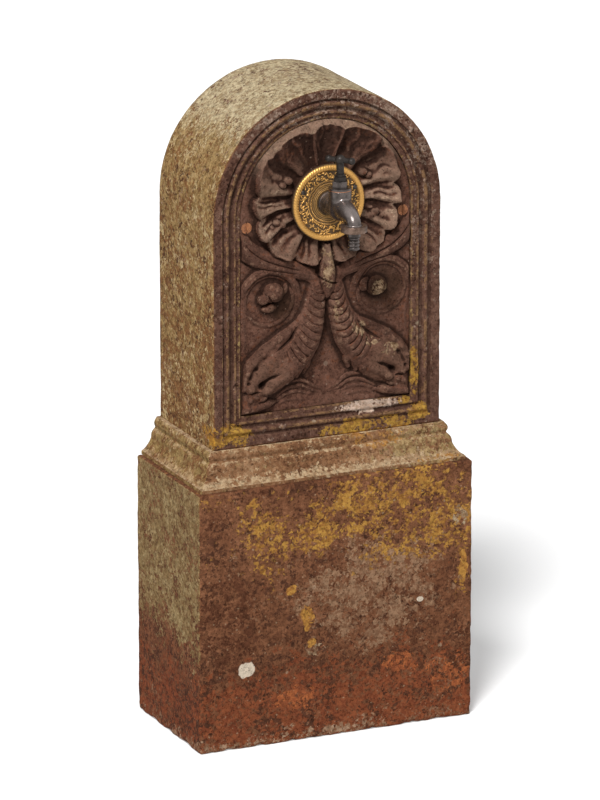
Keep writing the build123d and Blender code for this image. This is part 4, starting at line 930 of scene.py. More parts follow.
def make_panel(finish):
    """Arched panel with the whole relief in its front."""
    rows = np.linspace(PANEL_FOOT, SPRING, round((SPRING - PANEL_FOOT) / PANEL_STEP), endpoint=False)
    turn = np.linspace(0, 0.49 * math.pi, round(PANEL_HALF * math.pi / 2 / PANEL_STEP))
    rows = np.concatenate([rows, SPRING + PANEL_HALF * np.sin(turn)])
    chord = np.sqrt(np.clip(PANEL_HALF ** 2 - (rows - SPRING) ** 2, 0, None))
    half = np.where(rows > SPRING, chord, PANEL_HALF)
    shares = np.linspace(-1, 1, round(2 * PANEL_HALF / PANEL_STEP))
    x = half[:, None] * shares
    z = np.repeat(rows[:, None], len(shares), axis=1)
    height = relief_height(x.ravel(), z.ravel()).reshape(x.shape)
    edge_gap = half[:, None] * (1 - np.abs(shares))
    height *= smooth_step(-1, 5, np.minimum(edge_gap, z - PANEL_FOOT))
    front = np.stack([x, PANEL_FACE - height, z], axis=-1).reshape(-1, 3)
    index = np.arange(x.size).reshape(x.shape)
    border = np.concatenate([index[0], index[1:, -1], index[-1, -2::-1], index[-2:0:-1, 0]])
    back = front[border].copy()
    back[:, 1] = PANEL_BACK
    faces = strip_faces(*x.shape, False)
    rim = np.arange(len(border)) + x.size
    faces += np.stack([border, np.roll(border, -1), np.roll(rim, -1), rim], axis=-1).tolist()
    faces.append(rim.tolist())
    piece = new_piece("relief_casting", np.vstack([front, back]), faces)

    cutters = [drill((0, SHANK_CUT_START, INLET_Z), 1, SHANK_CUT_LENGTH, SHANK_HOLE)]
    sunk = SCREW_LOW[1] - 0.02
    for side in (-SCREW_X, SCREW_X):
        screw = (side, sunk, SCREW_Z)
        cutters.append(drill(screw, 1, SCREW_HEAD - 3.5, 4.0, SCREW_HEAD + 0.1))
        cutters.append(drill(screw, 1, PANEL_BACK - sunk + CUT_MARGIN, SCREW_HOLE_RADIUS))
    carve(piece, cutters)
    points, _ = read_points(piece)
    # Painted shade: depth below the blurred heights darkens the hollows and the ground beside tall forms,
    # where occlusion and cast shadow fall; height above them paints pale crests, partly a painted
    # highlight
    depth = 0.0
    for passes, lowest, highest, divisor in CREST_SCALES:
        depth += (height - blurred(height, passes)).clip(lowest, highest) / divisor
    row_at = np.interp(points[:, 2], rows, np.arange(len(rows))).round().astype(int)
    side_at = points[:, 0] / np.maximum(half[row_at], 1)
    column_at = np.interp(side_at, shares, np.arange(len(shares))).round().astype(int)
    crest = 0.5 + depth[row_at, column_at]
    to_shank = np.hypot(points[:, 0], points[:, 2] - INLET_Z)
    above = points[:, 2] - INLET_Z
    inside = shell_height(points[:, 0], points[:, 2])[1]
    # Painted shade on the shell's upper lobes, whose inner walls face down, away from the light; the
    # pearls are darkened too
    painted_shade = 0.3 * inside * smooth_step(25, 65, above)
    petal = inside * smooth_step(58, 66, to_shank) * smooth_step(75, 15, above)
    petal *= 0.45 + 0.55 * smooth_step(-75, -35, above)
    for x, z, radius in PEARLS:
        pearl = np.exp(-(np.hypot(np.abs(points[:, 0]) - x, points[:, 2] - z) / radius) ** 2)
        petal *= 1 - pearl
        painted_shade += 0.3 * pearl
    write_values(piece, "crest", crest - painted_shade)
    # Pale dust with a painted highlight: on the up-facing flank above the shell's rim and on the crests of
    # its side lobes, none on the top lobes left in shade
    ledge = ~inside * smooth_step(40, 85, above) * smooth_step(138, 128, to_shank)
    write_values(piece, "dust_and_highlight", np.maximum(ledge, petal * smooth_step(0.30, 0.52, crest)))
    dress(piece, finish, "fountain", ["relief_panel"], 70)


# Escutcheon: rope rim, leaf band and beaded and plain rings
DISC_PLATE = 3.0
ROPE_INNER = 47.5
ROPE_STRANDS = 84
LEAF_COUNT = 230
LEAF_BAND = (34.5, 47.0)
BEAD_RINGS = ((28.4, 84), (32.6, 96))
PLAIN_RINGS = (25.3, 22.6, 20.2)


def disc_height(radius, turn):
    """Height of the escutcheon's front above its back."""
    middle = (ROPE_INNER + DISC_RADIUS) / 2
    half = (DISC_RADIUS - ROPE_INNER) / 2
    round_rim = ring_dome(radius, middle, half)
    strand = 0.5 + 0.5 * np.cos(ROPE_STRANDS * turn + (radius - middle) * 0.8)
    rope = (DISC_HIGH[1] - DISC_LOW[1]) * round_rim ** 0.8 * (0.90 + 0.10 * strand)
    height = np.maximum(DISC_PLATE, rope)
    for ring, beads in BEAD_RINGS:
        bead = 0.6 + 0.4 * np.cos(beads * turn)
        height = np.maximum(height, DISC_PLATE + 1.6 * bead * ring_dome(radius, ring, 1.5))
    for ring in PLAIN_RINGS:
        height = np.maximum(height, DISC_PLATE + 0.9 * ring_dome(radius, ring, 0.9))
    x = radius * np.cos(turn)
    y = radius * np.sin(turn)
    rng = np.random.default_rng(17)
    for count in range(LEAF_COUNT):
        angle = 2 * math.pi * (count + rng.uniform(-0.4, 0.4)) / LEAF_COUNT
        place = rng.uniform(*LEAF_BAND)
        lie = angle + rng.uniform(-1.5, 1.5)
        long = rng.uniform(1.8, 4.0)
        wide = rng.uniform(0.8, 1.5)
        off_x = x - place * math.cos(angle)
        off_y = y - place * math.sin(angle)
        along = (off_x * math.cos(lie) + off_y * math.sin(lie)) / long
        beside = (off_y * math.cos(lie) - off_x * math.sin(lie)) / wide
        dome = np.clip(1 - along ** 2 - beside ** 2, 0, None)
        height = np.maximum(height, DISC_PLATE + rng.uniform(1.4, 2.4) * np.sqrt(dome))
    return height


def make_escutcheon(finish):
    """Gilt plate behind the tap, its ornament raised in the metal."""
    rings = np.concatenate([np.linspace(SHANK_HOLE, 18, 6), np.linspace(18.5, DISC_RADIUS, 96)])
    turn = np.linspace(0, 2 * math.pi, 540, endpoint=False)
    radius, angle = np.meshgrid(rings, turn, indexing="ij")
    height = disc_height(radius, angle)
    x = radius * np.cos(angle)
    z = INLET_Z + radius * np.sin(angle)
    front = np.stack([x, DISC_BACK - height, z], axis=-1)
    outer = np.stack([x[-1], np.full(len(turn), DISC_BACK), z[-1]], axis=-1)
    inner = np.stack([x[0], np.full(len(turn), DISC_BACK), z[0]], axis=-1)
    grid = np.concatenate([inner[None], front, outer[None], inner[None]])
    faces = strip_faces(len(grid), len(turn), True)
    piece = new_piece("gilt_escutcheon", grid.reshape(-1, 3), faces)
    points, _ = read_points(piece)
    at = np.hypot(points[:, 0], points[:, 2] - INLET_Z)
    raised = (DISC_BACK - points[:, 1] - DISC_PLATE) / 1.6
    write_values(piece, "crest", np.where(at < 24, 0.2, 0.1) + np.clip(raised, 0, 1))
    dress(piece, finish, "fountain", ["escutcheon"], 60)


def smooth_out(piece, factor, passes, group=""):
    """Lets a piece's forms run together, everywhere or by a group's weights."""
    run = piece.modifiers.new("soften", "SMOOTH")
    run.factor = factor
    run.iterations = passes
    run.vertex_group = group


def soft_copy(node, name, voxel, passes, finish, body, swell=0.0, melt=None):
    """Cast or forged form with soft joins, made from its solid; melt says where its joins run together."""
    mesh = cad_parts[node].data.copy()
    piece = bpy.data.objects.new(name, mesh)
    bpy.context.scene.collection.objects.link(piece)
    remesh = piece.modifiers.new("skin", "REMESH")
    remesh.mode = "VOXEL"
    remesh.voxel_size = voxel * MM
    remesh.use_smooth_shade = True
    settle(piece)
    if melt:
        points, _ = read_points(piece)
        group = piece.vertex_groups.new(name="melt")
        for index, weight in enumerate(melt(points)):
            if weight > 0.01:
                group.add([index], float(weight), "REPLACE")
        smooth_out(piece, 0.6, 90, "melt")
    smooth_out(piece, 0.5, passes)
    settle(piece)
    if swell:
        points, normals = read_points(piece)
        write_points(piece, points + normals * swell)
    dress(piece, finish, body, [node], 75)


TAP_TOP = corners("tap_body")[1][2]
NUT_LOW, NUT_HIGH = corners("union_nut")
OUTLET_REACH = 16.0


def tap_joins(points):
    """Where the tap's barrel, chamber and spout run into each other."""
    rim = smooth_step(-3, -11, points[:, 2] - TAP_TOP)
    seat = smooth_step(-1.5, -7, points[:, 1] - (DISC_BACK - DISC_PLATE))
    outlet = smooth_step(2, 10, points[:, 2] - NUT_HIGH[2])
    near_outlet = np.hypot(points[:, 0], points[:, 1] - (NUT_LOW[1] + NUT_HIGH[1]) / 2) < OUTLET_REACH
    return rim * seat * np.where(near_outlet, outlet, 1)


# Finishes

class Nodes:
    """One node tree, with short ways to add its nodes."""

    def __init__(self, tree):
        self.tree = tree

    def add(self, kind, inputs=None, **settings):
        made = self.tree.nodes.new("ShaderNode" + kind)
        for key, value in settings.items():
            setattr(made, key, value)
        self.fill(made.inputs, inputs or {})
        return made.outputs

    def fill(self, sockets, values):
        """Links sockets or sets them; a colour is given as red, green and blue."""
        for key, value in values.items():
            if isinstance(value, bpy.types.NodeSocket):
                self.tree.links.new(value, sockets[key])
            elif sockets[key].type == "RGBA":
                sockets[key].default_value = (*value, 1.0)
            else:
                sockets[key].default_value = value

    def calc(self, operation, first, second=0.0):
        return self.add("Math", {0: first, 1: second}, operation=operation)[0]

    def vector(self, operation, *values):
        return self.add("VectorMath", dict(enumerate(values)), operation=operation)[0]

    def noise(self, place, scale, detail=3.0, rough=0.6):
        inputs = {"Vector": place, "Scale": scale, "Detail": detail, "Roughness": rough}
        return self.add("TexNoise", inputs)[0]

    def step(self, value, low, high):
        inputs = {"Value": value, "From Min": low, "From Max": high}
        return self.add("MapRange", inputs, interpolation_type="SMOOTHSTEP")[0]

    def scale(self, value, low, high):
        return self.add("MapRange", {"Value": value, "To Min": low, "To Max": high})[0]

    def mix(self, factor, first, second, blend="MIX"):
        return self.add("Mix", {0: factor, 6: first, 7: second}, data_type="RGBA", blend_type=blend)[2]

    def group(self, tree, **inputs):
        return self.add("Group", inputs, node_tree=tree)

    def weighed(self, *parts):
        """Sum of values, each times its weight."""
        total = 0.0
        for value, weight in parts:
            total = self.calc("ADD", self.calc("MULTIPLY", value, weight), total)
        return total

    def bent(self, place, scale, detail, drift):
        """Place pushed about by noise, up to half the drift either way."""
        push = self.add("TexNoise", {"Vector": place, "Scale": scale, "Detail": detail})["Color"]
        return self.vector("MULTIPLY_ADD", self.vector("SUBTRACT", push, (0.5,) * 3), (drift,) * 3, place)

    def crumbs(self, place, scale, drift):
        """Uneven crumbs of a crust: random numbers for each crumb."""
        uneven = self.bent(place, scale * 1.7, 3.0, drift)
        cells = self.add("TexVoronoi", {"Vector": uneven, "Scale": scale})
        return self.add("SeparateColor", {0: cells["Color"]})

    def seen_directly(self):
        """1 for what the camera, a reflection or a glass shows, 0 for light that falls on the object."""
        seen = self.add("LightPath")
        mirrored = self.calc("MAXIMUM", seen["Is Glossy Ray"], seen["Is Transmission Ray"])
        return self.calc("MAXIMUM", seen["Is Camera Ray"], mirrored)


class Effect(Nodes):
    """Shader group with named sockets that several finishes share."""

    def __init__(self, name, inputs, outputs):
        super().__init__(bpy.data.node_groups.new(name, "ShaderNodeTree"))
        for way, sockets in (("INPUT", inputs), ("OUTPUT", outputs)):
            for label, kind in sockets.items():
                self.tree.interface.new_socket(label, in_out=way, socket_type="NodeSocket" + kind)
        self.given = self.tree.nodes.new("NodeGroupInput").outputs
        self.out = self.tree.nodes.new("NodeGroupOutput").inputs

    def seeded(self):
        """Place moved far away by the seed, so that each growth has its own pattern."""
        return self.vector("MULTIPLY_ADD", self.given["Seed"], (137.0, 71.0, 29.0), self.given["Place"])


def casting_grit():
    """Sandy cast skin: its height, and a shade that darkens its pits."""
    grit = Effect("casting grit", {"Place": "Vector"}, {"Height": "Float", "Shade": "Float"})
    place = grit.given["Place"]
    fine = grit.noise(place, 0.42, 3.0, 0.65)
    coarse = grit.noise(place, 0.13, 4.0, 0.6)
    pit = grit.step(grit.add("TexVoronoi", {"Vector": place, "Scale": 0.2})["Distance"], 0.28, 0.1)
    height = grit.weighed((fine, 0.5), (coarse, 0.6), (pit, -0.22))
    grit.fill(grit.out, {"Height": height, "Shade": grit.step(height, 0.28, 0.66)})
    return grit.tree


def rust_ground():
    """Rusted iron in three tones, from broad clouds down to single grains."""
    sockets = {"Place": "Vector", "Seed": "Float", "Deep": "Color", "Middle": "Color", "Bright": "Color"}
    rust = Effect("rust ground", sockets, {"Color": "Color"})
    place = rust.seeded()
    broad = rust.noise(place, 0.010, 4.0, 0.6)
    cloud = rust.noise(place, 0.05, 5.0, 0.7)
    grain = rust.noise(place, 0.36, 3.0, 0.75)
    crumb = rust.crumbs(place, 0.24, 5.0)[0]
    tone = rust.weighed((broad, 0.36), (cloud, 0.30), (grain, 0.2), (crumb, 0.14))
    darker = rust.mix(rust.step(tone, 0.37, 0.5), rust.given["Deep"], rust.given["Middle"])
    rust.fill(rust.out, {"Color": rust.mix(rust.step(tone, 0.5, 0.63), darker, rust.given["Bright"])})
    return rust.tree


def lichen_cover():
    """Crumbly growth that covers about the given share of a surface, and the tone of each crumb."""
    sockets = {"Place": "Vector", "Seed": "Float", "Amount": "Float"}
    lichen = Effect("lichen cover", sockets, {"Mask": "Float", "Tone": "Float"})
    place = lichen.seeded()
    patch = lichen.noise(place, 0.018, 4.0, 0.65)
    fringe = lichen.noise(place, 0.3, 4.0, 0.75)
    coarse = lichen.crumbs(place, 0.10, 9.0)
    fine = lichen.crumbs(place, 0.27, 4.0)
    spread = lichen.weighed((patch, 0.42), (fringe, 0.24), (coarse[0], 0.17), (fine[0], 0.17))
    mask = lichen.step(lichen.calc("ADD", spread, lichen.given["Amount"]), 0.96, 1.04)
    tone = lichen.weighed((fine[1], 0.45), (coarse[1], 0.25), (fringe, 0.3))
    lichen.fill(lichen.out, {"Mask": mask, "Tone": tone})
    return lichen.tree


def lichen_spots():
    """Small round colonies, scattered at the given scale."""
    sockets = {"Place": "Vector", "Scale": "Float", "Size": "Float", "Share": "Float"}
    spots = Effect("lichen spots", sockets, {"Mask": "Float"})
    place = spots.bent(spots.given["Place"], 0.3, 2.0, 4.0)
    cells = spots.add("TexVoronoi", {"Vector": place, "Scale": spots.given["Scale"]})
    chance = spots.add("SeparateColor", {0: cells["Color"]})[0]
    chosen = spots.calc("LESS_THAN", chance, spots.given["Share"])
    unlike = spots.calc("FRACT", spots.calc("MULTIPLY", chance, 37.0))
    size = spots.calc("MULTIPLY", spots.given["Size"], spots.scale(unlike, 0.5, 1.0))
    disc = spots.step(spots.calc("DIVIDE", cells["Distance"], size), 1.0, 0.75)
    spots.fill(spots.out, {"Mask": spots.calc("MULTIPLY", disc, chosen)})
    return spots.tree


def uneven_stain():
    """One patch with an uneven edge, about a centre and within a reach in millimetres."""
    sockets = {"Place": "Vector", "Centre": "Vector", "Reach": "Vector"}
    stain = Effect("stain", sockets, {"Mask": "Float"})
    off = stain.vector("SUBTRACT", stain.given["Place"], stain.given["Centre"])
    share = stain.vector("DIVIDE", off, stain.given["Reach"])
    far = stain.add("VectorMath", {0: share}, operation="LENGTH")["Value"]
    edge = stain.calc("SUBTRACT", stain.noise(stain.given["Place"], 0.03, 3.0, 0.6), 0.5)
    far = stain.calc("ADD", far, stain.calc("MULTIPLY", edge, 1.4))
    stain.fill(stain.out, {"Mask": stain.step(far, 1.1, 0.5)})
    return stain.tree


GRIT = casting_grit()
RUST = rust_ground()
LICHEN = lichen_cover()
SPOTS = lichen_spots()
STAIN = uneven_stain()
IRON_GLOSS = 0.06


class Finish(Nodes):
    """One material, with its shader and the place of each point in millimetres."""

    def __init__(self, name):
        self.material = bpy.data.materials.new(name)
        self.material.use_nodes = True
        super().__init__(self.material.node_tree)
        self.shader = self.tree.nodes["Principled BSDF"].inputs
        where = self.add("TexCoord")["Object"]
        self.place = self.add("VectorMath", {0: where, "Scale": 1 / MM}, operation="SCALE")[0]

    def stored(self, name):
        """Number that the piece keeps for each point."""
        return self.add("Attribute", attribute_name=name)["Fac"]

    def normal(self):
        """Parts of the way a surface looks."""
        return self.add("SeparateXYZ", {0: self.add("NewGeometry")["Normal"]})

    def bump(self, height, strength, distance):
        return self.add("Bump", {"Height": height, "Strength": strength, "Distance": distance * MM})[0]


class IronCoat(Finish):
    """Weathered iron: a ground of rust, with growths, specks and tints laid over it one by one."""

    def __init__(self, name, seed, deep, middle, bright):
        super().__init__(name)
        tones = {"Deep": deep, "Middle": middle, "Bright": bright}
        self.skin = self.group(RUST, Place=self.place, Seed=seed, **tones)["Color"]
        self.across, _, self.level = self.add("SeparateXYZ", {0: self.place})

    def facing(self):
        """How far a surface looks up, and how far it looks to a side or the back."""
        x, y, z = self.normal()
        side = self.step(self.calc("ABSOLUTE", x), 0.5, 0.8)
        return self.step(z, 0.35, 0.85), self.calc("MAXIMUM", side, self.step(y, 0.5, 0.8))

    def stains(self, *patches):
        """Largest of several patches: x, y and z of the centre, then the reach along each."""
        total = 0.0
        for patch in patches:
            mask = self.group(STAIN, Place=self.place, Centre=patch[:3], Reach=patch[3:])["Mask"]
            total = self.calc("MAXIMUM", mask, total)
        return total

    def lay(self, mask, strength, tint):
        """Tint laid over the skin where a mask says."""
        self.skin = self.mix(self.calc("MULTIPLY", mask, strength), self.skin, tint)

    def grow(self, seed, amount, shaded, lit):
        """Lichen or rust bloom of two tones over the skin."""
        cover = self.group(LICHEN, Place=self.place, Seed=seed, Amount=amount)
        tone = self.step(cover["Tone"], 0.25, 0.75)
        self.skin = self.mix(cover["Mask"], self.skin, self.mix(tone, shaded, lit))

    def speckle(self, scale, size, share, strength, tint):
        """Scattered round colonies over the skin."""
        spots = self.group(SPOTS, Place=self.place, Scale=scale, Size=size, Share=share)
        self.lay(spots["Mask"], strength, tint)

    def finish(self, bump_distance, wash):
        """Grit over the skin: darker pits, a wash of brown, dry roughness and a gritty bump."""
        grit = self.group(GRIT, Place=self.place)
        shade = self.scale(grit["Shade"], 0.45, 1.22)
        grey = self.add("CombineColor", {0: shade, 1: shade, 2: shade})[0]
        stained = self.mix(1.0, self.skin, wash, "MULTIPLY")
        self.fill(self.shader, {
            "Base Color": self.mix(1.0, stained, grey, "MULTIPLY"),
            "Roughness": self.scale(grit["Shade"], 0.95, 0.8),
            "Specular IOR Level": IRON_GLOSS,
            "Normal": self.bump(grit["Height"], 1.0, bump_distance),
        })
        return self.material


def plinth_finish():
    """Red-brown rust with ochre, grey and white lichen, redder towards the foot."""
    tones = (0.085, 0.031, 0.017), (0.17, 0.071, 0.037), (0.26, 0.115, 0.062)
    coat = IronCoat("rusted plinth", 1, *tones)
    level = coat.level
    red = coat.scale(coat.step(level, 200, 60), 0.26, 0.56)
    coat.grow(2, red, (0.16, 0.045, 0.022), (0.25, 0.077, 0.034))
    coat.grow(3, 0.43, (0.06, 0.025, 0.015), (0.105, 0.043, 0.025))
    rust = coat.stains(
        (-67, -117, 70, 52, 60, 26),
        (110, -117, 100, 40, 60, 26),
        (180, -117, 75, 50, 60, 40),
    )
    coat.grow(4, coat.scale(rust, 0.27, 0.48), (0.26, 0.075, 0.032), (0.42, 0.135, 0.05))
    grey = coat.stains((55, -117, 225, 150, 60, 110))
    coat.grow(5, coat.scale(grey, 0.33, 0.53), (0.18, 0.09, 0.052), (0.31, 0.185, 0.115))
    shadowed = coat.stains((-175, -117, 205, 75, 60, 95), (205, -117, 120, 40, 60, 70))
    coat.grow(10, coat.scale(shadowed, 0.0, 0.5), (0.075, 0.028, 0.015), (0.13, 0.05, 0.027))
    ochre = coat.stains(
        (120, -117, 340, 150, 60, 110),
        (-115, -117, 324, 68, 60, 86),
        (-30, -117, 325, 52, 60, 46),
        (205, -117, 220, 26, 60, 60),
        (55, -117, 374, 80, 60, 46),
    )
    upper = coat.scale(coat.step(level, 150, 330), 0.22, 0.32)
    amount = coat.calc("ADD", upper, coat.scale(ochre, 0.0, 0.18))
    coat.grow(6, amount, (0.26, 0.115, 0.03), (0.435, 0.235, 0.055))
    dots = coat.stains(
        (-75, -117, 238, 15, 20, 14),
        (-47, -117, 190, 18, 20, 30),
        (-41, -117, 152, 11, 20, 11),
        (208, -117, 235, 12, 20, 40),
    )
    coat.grow(16, coat.scale(dots, 0.0, 0.62), (0.29, 0.125, 0.033), (0.47, 0.245, 0.06))
    ash = coat.stains(
        (205, -117, 318, 24, 40, 40),
        (-30, -117, 140, 22, 20, 14),
        (-92, -117, 250, 12, 20, 10),
    )
    coat.grow(17, coat.scale(ash, 0.0, 0.46), (0.24, 0.15, 0.09), (0.40, 0.30, 0.20))
    _, side = coat.facing()
    ragged = coat.scale(coat.noise(coat.place, 0.02, 4.0, 0.65), -90, 90)
    green = coat.calc("MULTIPLY", side, coat.step(coat.calc("ADD", level, ragged), 70, 230))
    coat.grow(7, coat.scale(green, 0.24, 0.56), (0.17, 0.105, 0.048), (0.29, 0.205, 0.10))
    coat.grow(8, coat.scale(green, 0.22, 0.46), (0.26, 0.185, 0.085), (0.39, 0.31, 0.17))
    foot = coat.scale(coat.step(level, 36, 6), 0.28, 0.45)
    coat.grow(9, foot, (0.22, 0.12, 0.07), (0.38, 0.25, 0.17))
    coat.speckle(0.11, 0.2, 0.4, 0.7, (0.34, 0.235, 0.155))
    coat.speckle(0.024, 0.15, 0.3, 0.75, (0.33, 0.22, 0.15))
    white = coat.stains((-144, -117, 123, 15, 20, 15), (137, -117, 195, 5.5, 20, 4))
    coat.lay(coat.step(white, 0.25, 0.5), 0.95, (0.70, 0.60, 0.50))
    front_wash = coat.mix(coat.step(level, 170, 330), (0.775, 0.755, 0.70), (0.88, 0.87, 0.81))
    return coat.finish(1.3, coat.mix(side, front_wash, (0.80, 0.73, 0.66)))


def cap_finish():
    """Beige-brown moulding, palest on its ledges, with green-grey lichen at the sides."""
    tones = (0.115, 0.053, 0.028), (0.22, 0.112, 0.058), (0.32, 0.195, 0.115)
    coat = IronCoat("weathered cap", 11, *tones)
    up, side = coat.facing()
    coat.grow(12, 0.4, (0.085, 0.038, 0.02), (0.14, 0.065, 0.035))
    green = coat.calc("MAXIMUM", side, coat.stains((165, -100, 432, 90, 60, 44)))
    coat.grow(13, coat.scale(green, 0.34, 0.54), (0.20, 0.125, 0.055), (0.36, 0.26, 0.135))
    coat.grow(14, coat.scale(up, 0.36, 0.58), (0.29, 0.185, 0.108), (0.46, 0.345, 0.225))
    ochre = coat.stains((80, -95, 446, 90, 60, 16), (172, -112, 409, 56, 30, 8))
    coat.grow(15, coat.scale(ochre, 0.22, 0.46), (0.26, 0.12, 0.036), (0.40, 0.215, 0.07))
    coat.speckle(0.1, 0.2, 0.4, 0.75, (0.40, 0.31, 0.225))
    coat.speckle(0.04, 0.16, 0.3, 0.8, (0.44, 0.35, 0.25))
    return coat.finish(1.1, coat.mix(side, (0.88, 0.845, 0.77), (0.82, 0.76, 0.60)))


def hood_finish():
    """Dark purple-brown frame; sides, back and head grown over with grey-green and beige lichen."""
    tones = (0.058, 0.026, 0.017), (0.125, 0.062, 0.041), (0.20, 0.112, 0.075)
    coat = IronCoat("weathered hood", 21, *tones)
    level = coat.level
    moulded = coat.stored("moulded")
    bare = coat.scale(moulded, 1.0, 0.1)
    up, side = [coat.calc("MULTIPLY", way, bare) for way in coat.facing()]
    coat.grow(22, coat.scale(side, 0.3, 0.66), (0.135, 0.066, 0.030), (0.225, 0.118, 0.055))
    green = coat.calc("MULTIPLY", side, coat.scale(coat.step(level, 470, 900), 0.44, 0.56))
    coat.grow(23, green, (0.20, 0.13, 0.058), (0.36, 0.265, 0.135))
    coat.grow(24, coat.scale(up, 0.2, 0.62), (0.28, 0.20, 0.11), (0.50, 0.41, 0.26))
    coat.grow(25, coat.scale(side, 0.26, 0.42), (0.34, 0.26, 0.14), (0.52, 0.44, 0.29))
    right = coat.calc("MULTIPLY", coat.step(coat.across, 60, 180), coat.step(level, 620, 780))
    crown = coat.calc("MULTIPLY", coat.step(level, 880, 950), moulded)
    flecked = coat.scale(coat.calc("MAXIMUM", right, crown), 0.34, 0.46)
    coat.grow(26, flecked, (0.20, 0.125, 0.085), (0.36, 0.26, 0.19))
    coat.grow(27, coat.scale(up, 0.39, 0.31), (0.05, 0.023, 0.014), (0.09, 0.042, 0.025))
    crest = coat.stored("crest")
    # Paler beads: wear with a painted highlight
    rubbed_and_highlit = coat.scale(coat.step(crest, 0.52, 0.75), 0.0, 0.5)
    coat.grow(34, rubbed_and_highlit, (0.16, 0.088, 0.042), (0.27, 0.155, 0.075))
    above_rail = coat.scale(coat.step(level, 500, 530), 0.2, 0.41)
    inner_edge = coat.calc("MULTIPLY", coat.stored("inner_edge"), above_rail)
    coat.grow(37, inner_edge, (0.20, 0.12, 0.045), (0.36, 0.25, 0.10))
    # Painted shade darkening the frame's grooves
    coat.lay(coat.step(crest, 0.47, 0.2), 0.45, (0.022, 0.011, 0.007))
    ochre = coat.stains(
        (-160, -83, 478, 48, 60, 30),
        (66, -83, 466, 84, 60, 18),
        (143, -83, 545, 10, 60, 60),
        (148, -83, 478, 20, 60, 17),
        (128, -80, 497, 14, 60, 8),
    )
    coat.grow(28, coat.scale(ochre, 0.25, 0.55), (0.25, 0.12, 0.03), (0.46, 0.27, 0.05))
    pale = coat.stains((65, -78, 496, 66, 60, 14), (-150, -60, 955, 16, 40, 12))
    coat.grow(29, coat.scale(pale, 0.22, 0.62), (0.42, 0.295, 0.205), (0.66, 0.52, 0.40))
    coat.speckle(0.1, 0.18, 0.35, 0.7, (0.33, 0.245, 0.165))
    coat.speckle(0.035, 0.16, 0.3, 0.75, (0.38, 0.29, 0.19))
    outside_wash = coat.mix(up, (0.92, 0.81, 0.66), (1.0, 1.0, 1.0))
    return coat.finish(1.1, coat.mix(moulded, outside_wash, (0.76, 0.74, 0.76)))


def panel_finish():
    """Dark rust-brown relief, black in its hollows from painted shade and dirt, and pale on its crests
    from dust, wear and painted highlight.
    """
    tones = (0.073, 0.034, 0.023), (0.152, 0.075, 0.0515), (0.195, 0.107, 0.077)
    coat = IronCoat("relief iron", 31, *tones)
    coat.grow(32, 0.4, (0.13, 0.05, 0.028), (0.19, 0.08, 0.046))
    crest = coat.stored("crest")
    coat.lay(coat.step(crest, 0.54, 0.66), 0.6, (0.088, 0.047, 0.034))
    # Pale on the crests: wear, partly a painted highlight on edges
    paler_on_crests = coat.scale(coat.step(crest, 0.5, 0.85), 0.30, 0.47)
    coat.grow(33, paler_on_crests, (0.135, 0.07, 0.048), (0.225, 0.132, 0.09))
    heads = coat.stains((100, -90, 560, 38, 40, 42), (-100, -90, 560, 40, 40, 48))
    coat.lay(heads, 0.45, (0.20, 0.115, 0.078))
    # Painted shadow of the two knobs, laid below and to the right of them in the volute hollows
    painted_shade = coat.stains((99, -85, 672, 36, 40, 40), (-70, -85, 664, 26, 40, 28))
    coat.lay(painted_shade, 0.8, (0.045, 0.024, 0.014))
    # Painted shade, with some dirt, blackening the relief's hollows and the ground beside its tall forms
    coat.lay(coat.step(crest, 0.46, 0.1), 0.8, (0.020, 0.010, 0.007))
    # Dust with a painted highlight on the flank above the shell and on the crests of its side lobes
    dust_and_highlight = coat.stored("dust_and_highlight")
    coat.lay(dust_and_highlight, coat.scale(coat.noise(coat.place, 0.06, 4.0, 0.6), 0.45, 1.0), (0.325, 0.218, 0.155))
    coat.grow(35, coat.scale(dust_and_highlight, 0.0, 0.42), (0.28, 0.18, 0.12), (0.42, 0.30, 0.21))
    pale = coat.stains(
        (0, -92, 722, 20, 30, 42),
        (84, -92, 678, 20, 30, 17),
        (15, -90, 650, 10, 30, 24),
        (48, -90, 618, 22, 30, 15),
        (72, -90, 600, 20, 30, 12),
        (98, -90, 582, 18, 30, 12),
    )
    coat.grow(36, coat.scale(pale, 0.0, 0.5), (0.22, 0.135, 0.075), (0.40, 0.29, 0.18))
    coat.speckle(0.09, 0.18, 0.3, 0.6, (0.30, 0.215, 0.16))
    coat.speckle(0.03, 0.14, 0.25, 0.6, (0.30, 0.22, 0.165))
    return coat.finish(0.8, (0.74, 0.70, 0.68))


# Colour of the painted highlight on the tap's upper faces
TOP_HIGHLIGHT_TINT = (0.36, 0.30, 0.28)


def worn_metal(name, dull, bright, metallic, roughness, scale=0.12, grain=0.15, top_highlight=0.0, gloss=0.5):
    """Metal with clouds of tarnish, a fine uneven skin and, where asked, a pale painted highlight on what
    looks up.
    """
    metal = Finish(name)
    cloud = metal.noise(metal.place, scale, 4.0, 0.6)
    fine = metal.noise(metal.place, scale * 9, 3.0, 0.65)
    tarnish = metal.step(metal.weighed((cloud, 0.65), (fine, 0.35)), 0.38, 0.62)
    base = metal.mix(tarnish, dull, bright)
    # Painted highlight, paler where the surface looks up
    if top_highlight:
        upward = metal.step(metal.normal()[2], 0.0, 0.9)
        base = metal.mix(metal.calc("MULTIPLY", upward, top_highlight), base, TOP_HIGHLIGHT_TINT)
    metal.fill(metal.shader, {
        "Base Color": base,
        "Roughness": metal.scale(tarnish, *roughness),
        "Metallic": metallic,
        "Specular IOR Level": gloss,
        "Normal": metal.bump(fine, 0.5, grain),
    })
    return metal.material


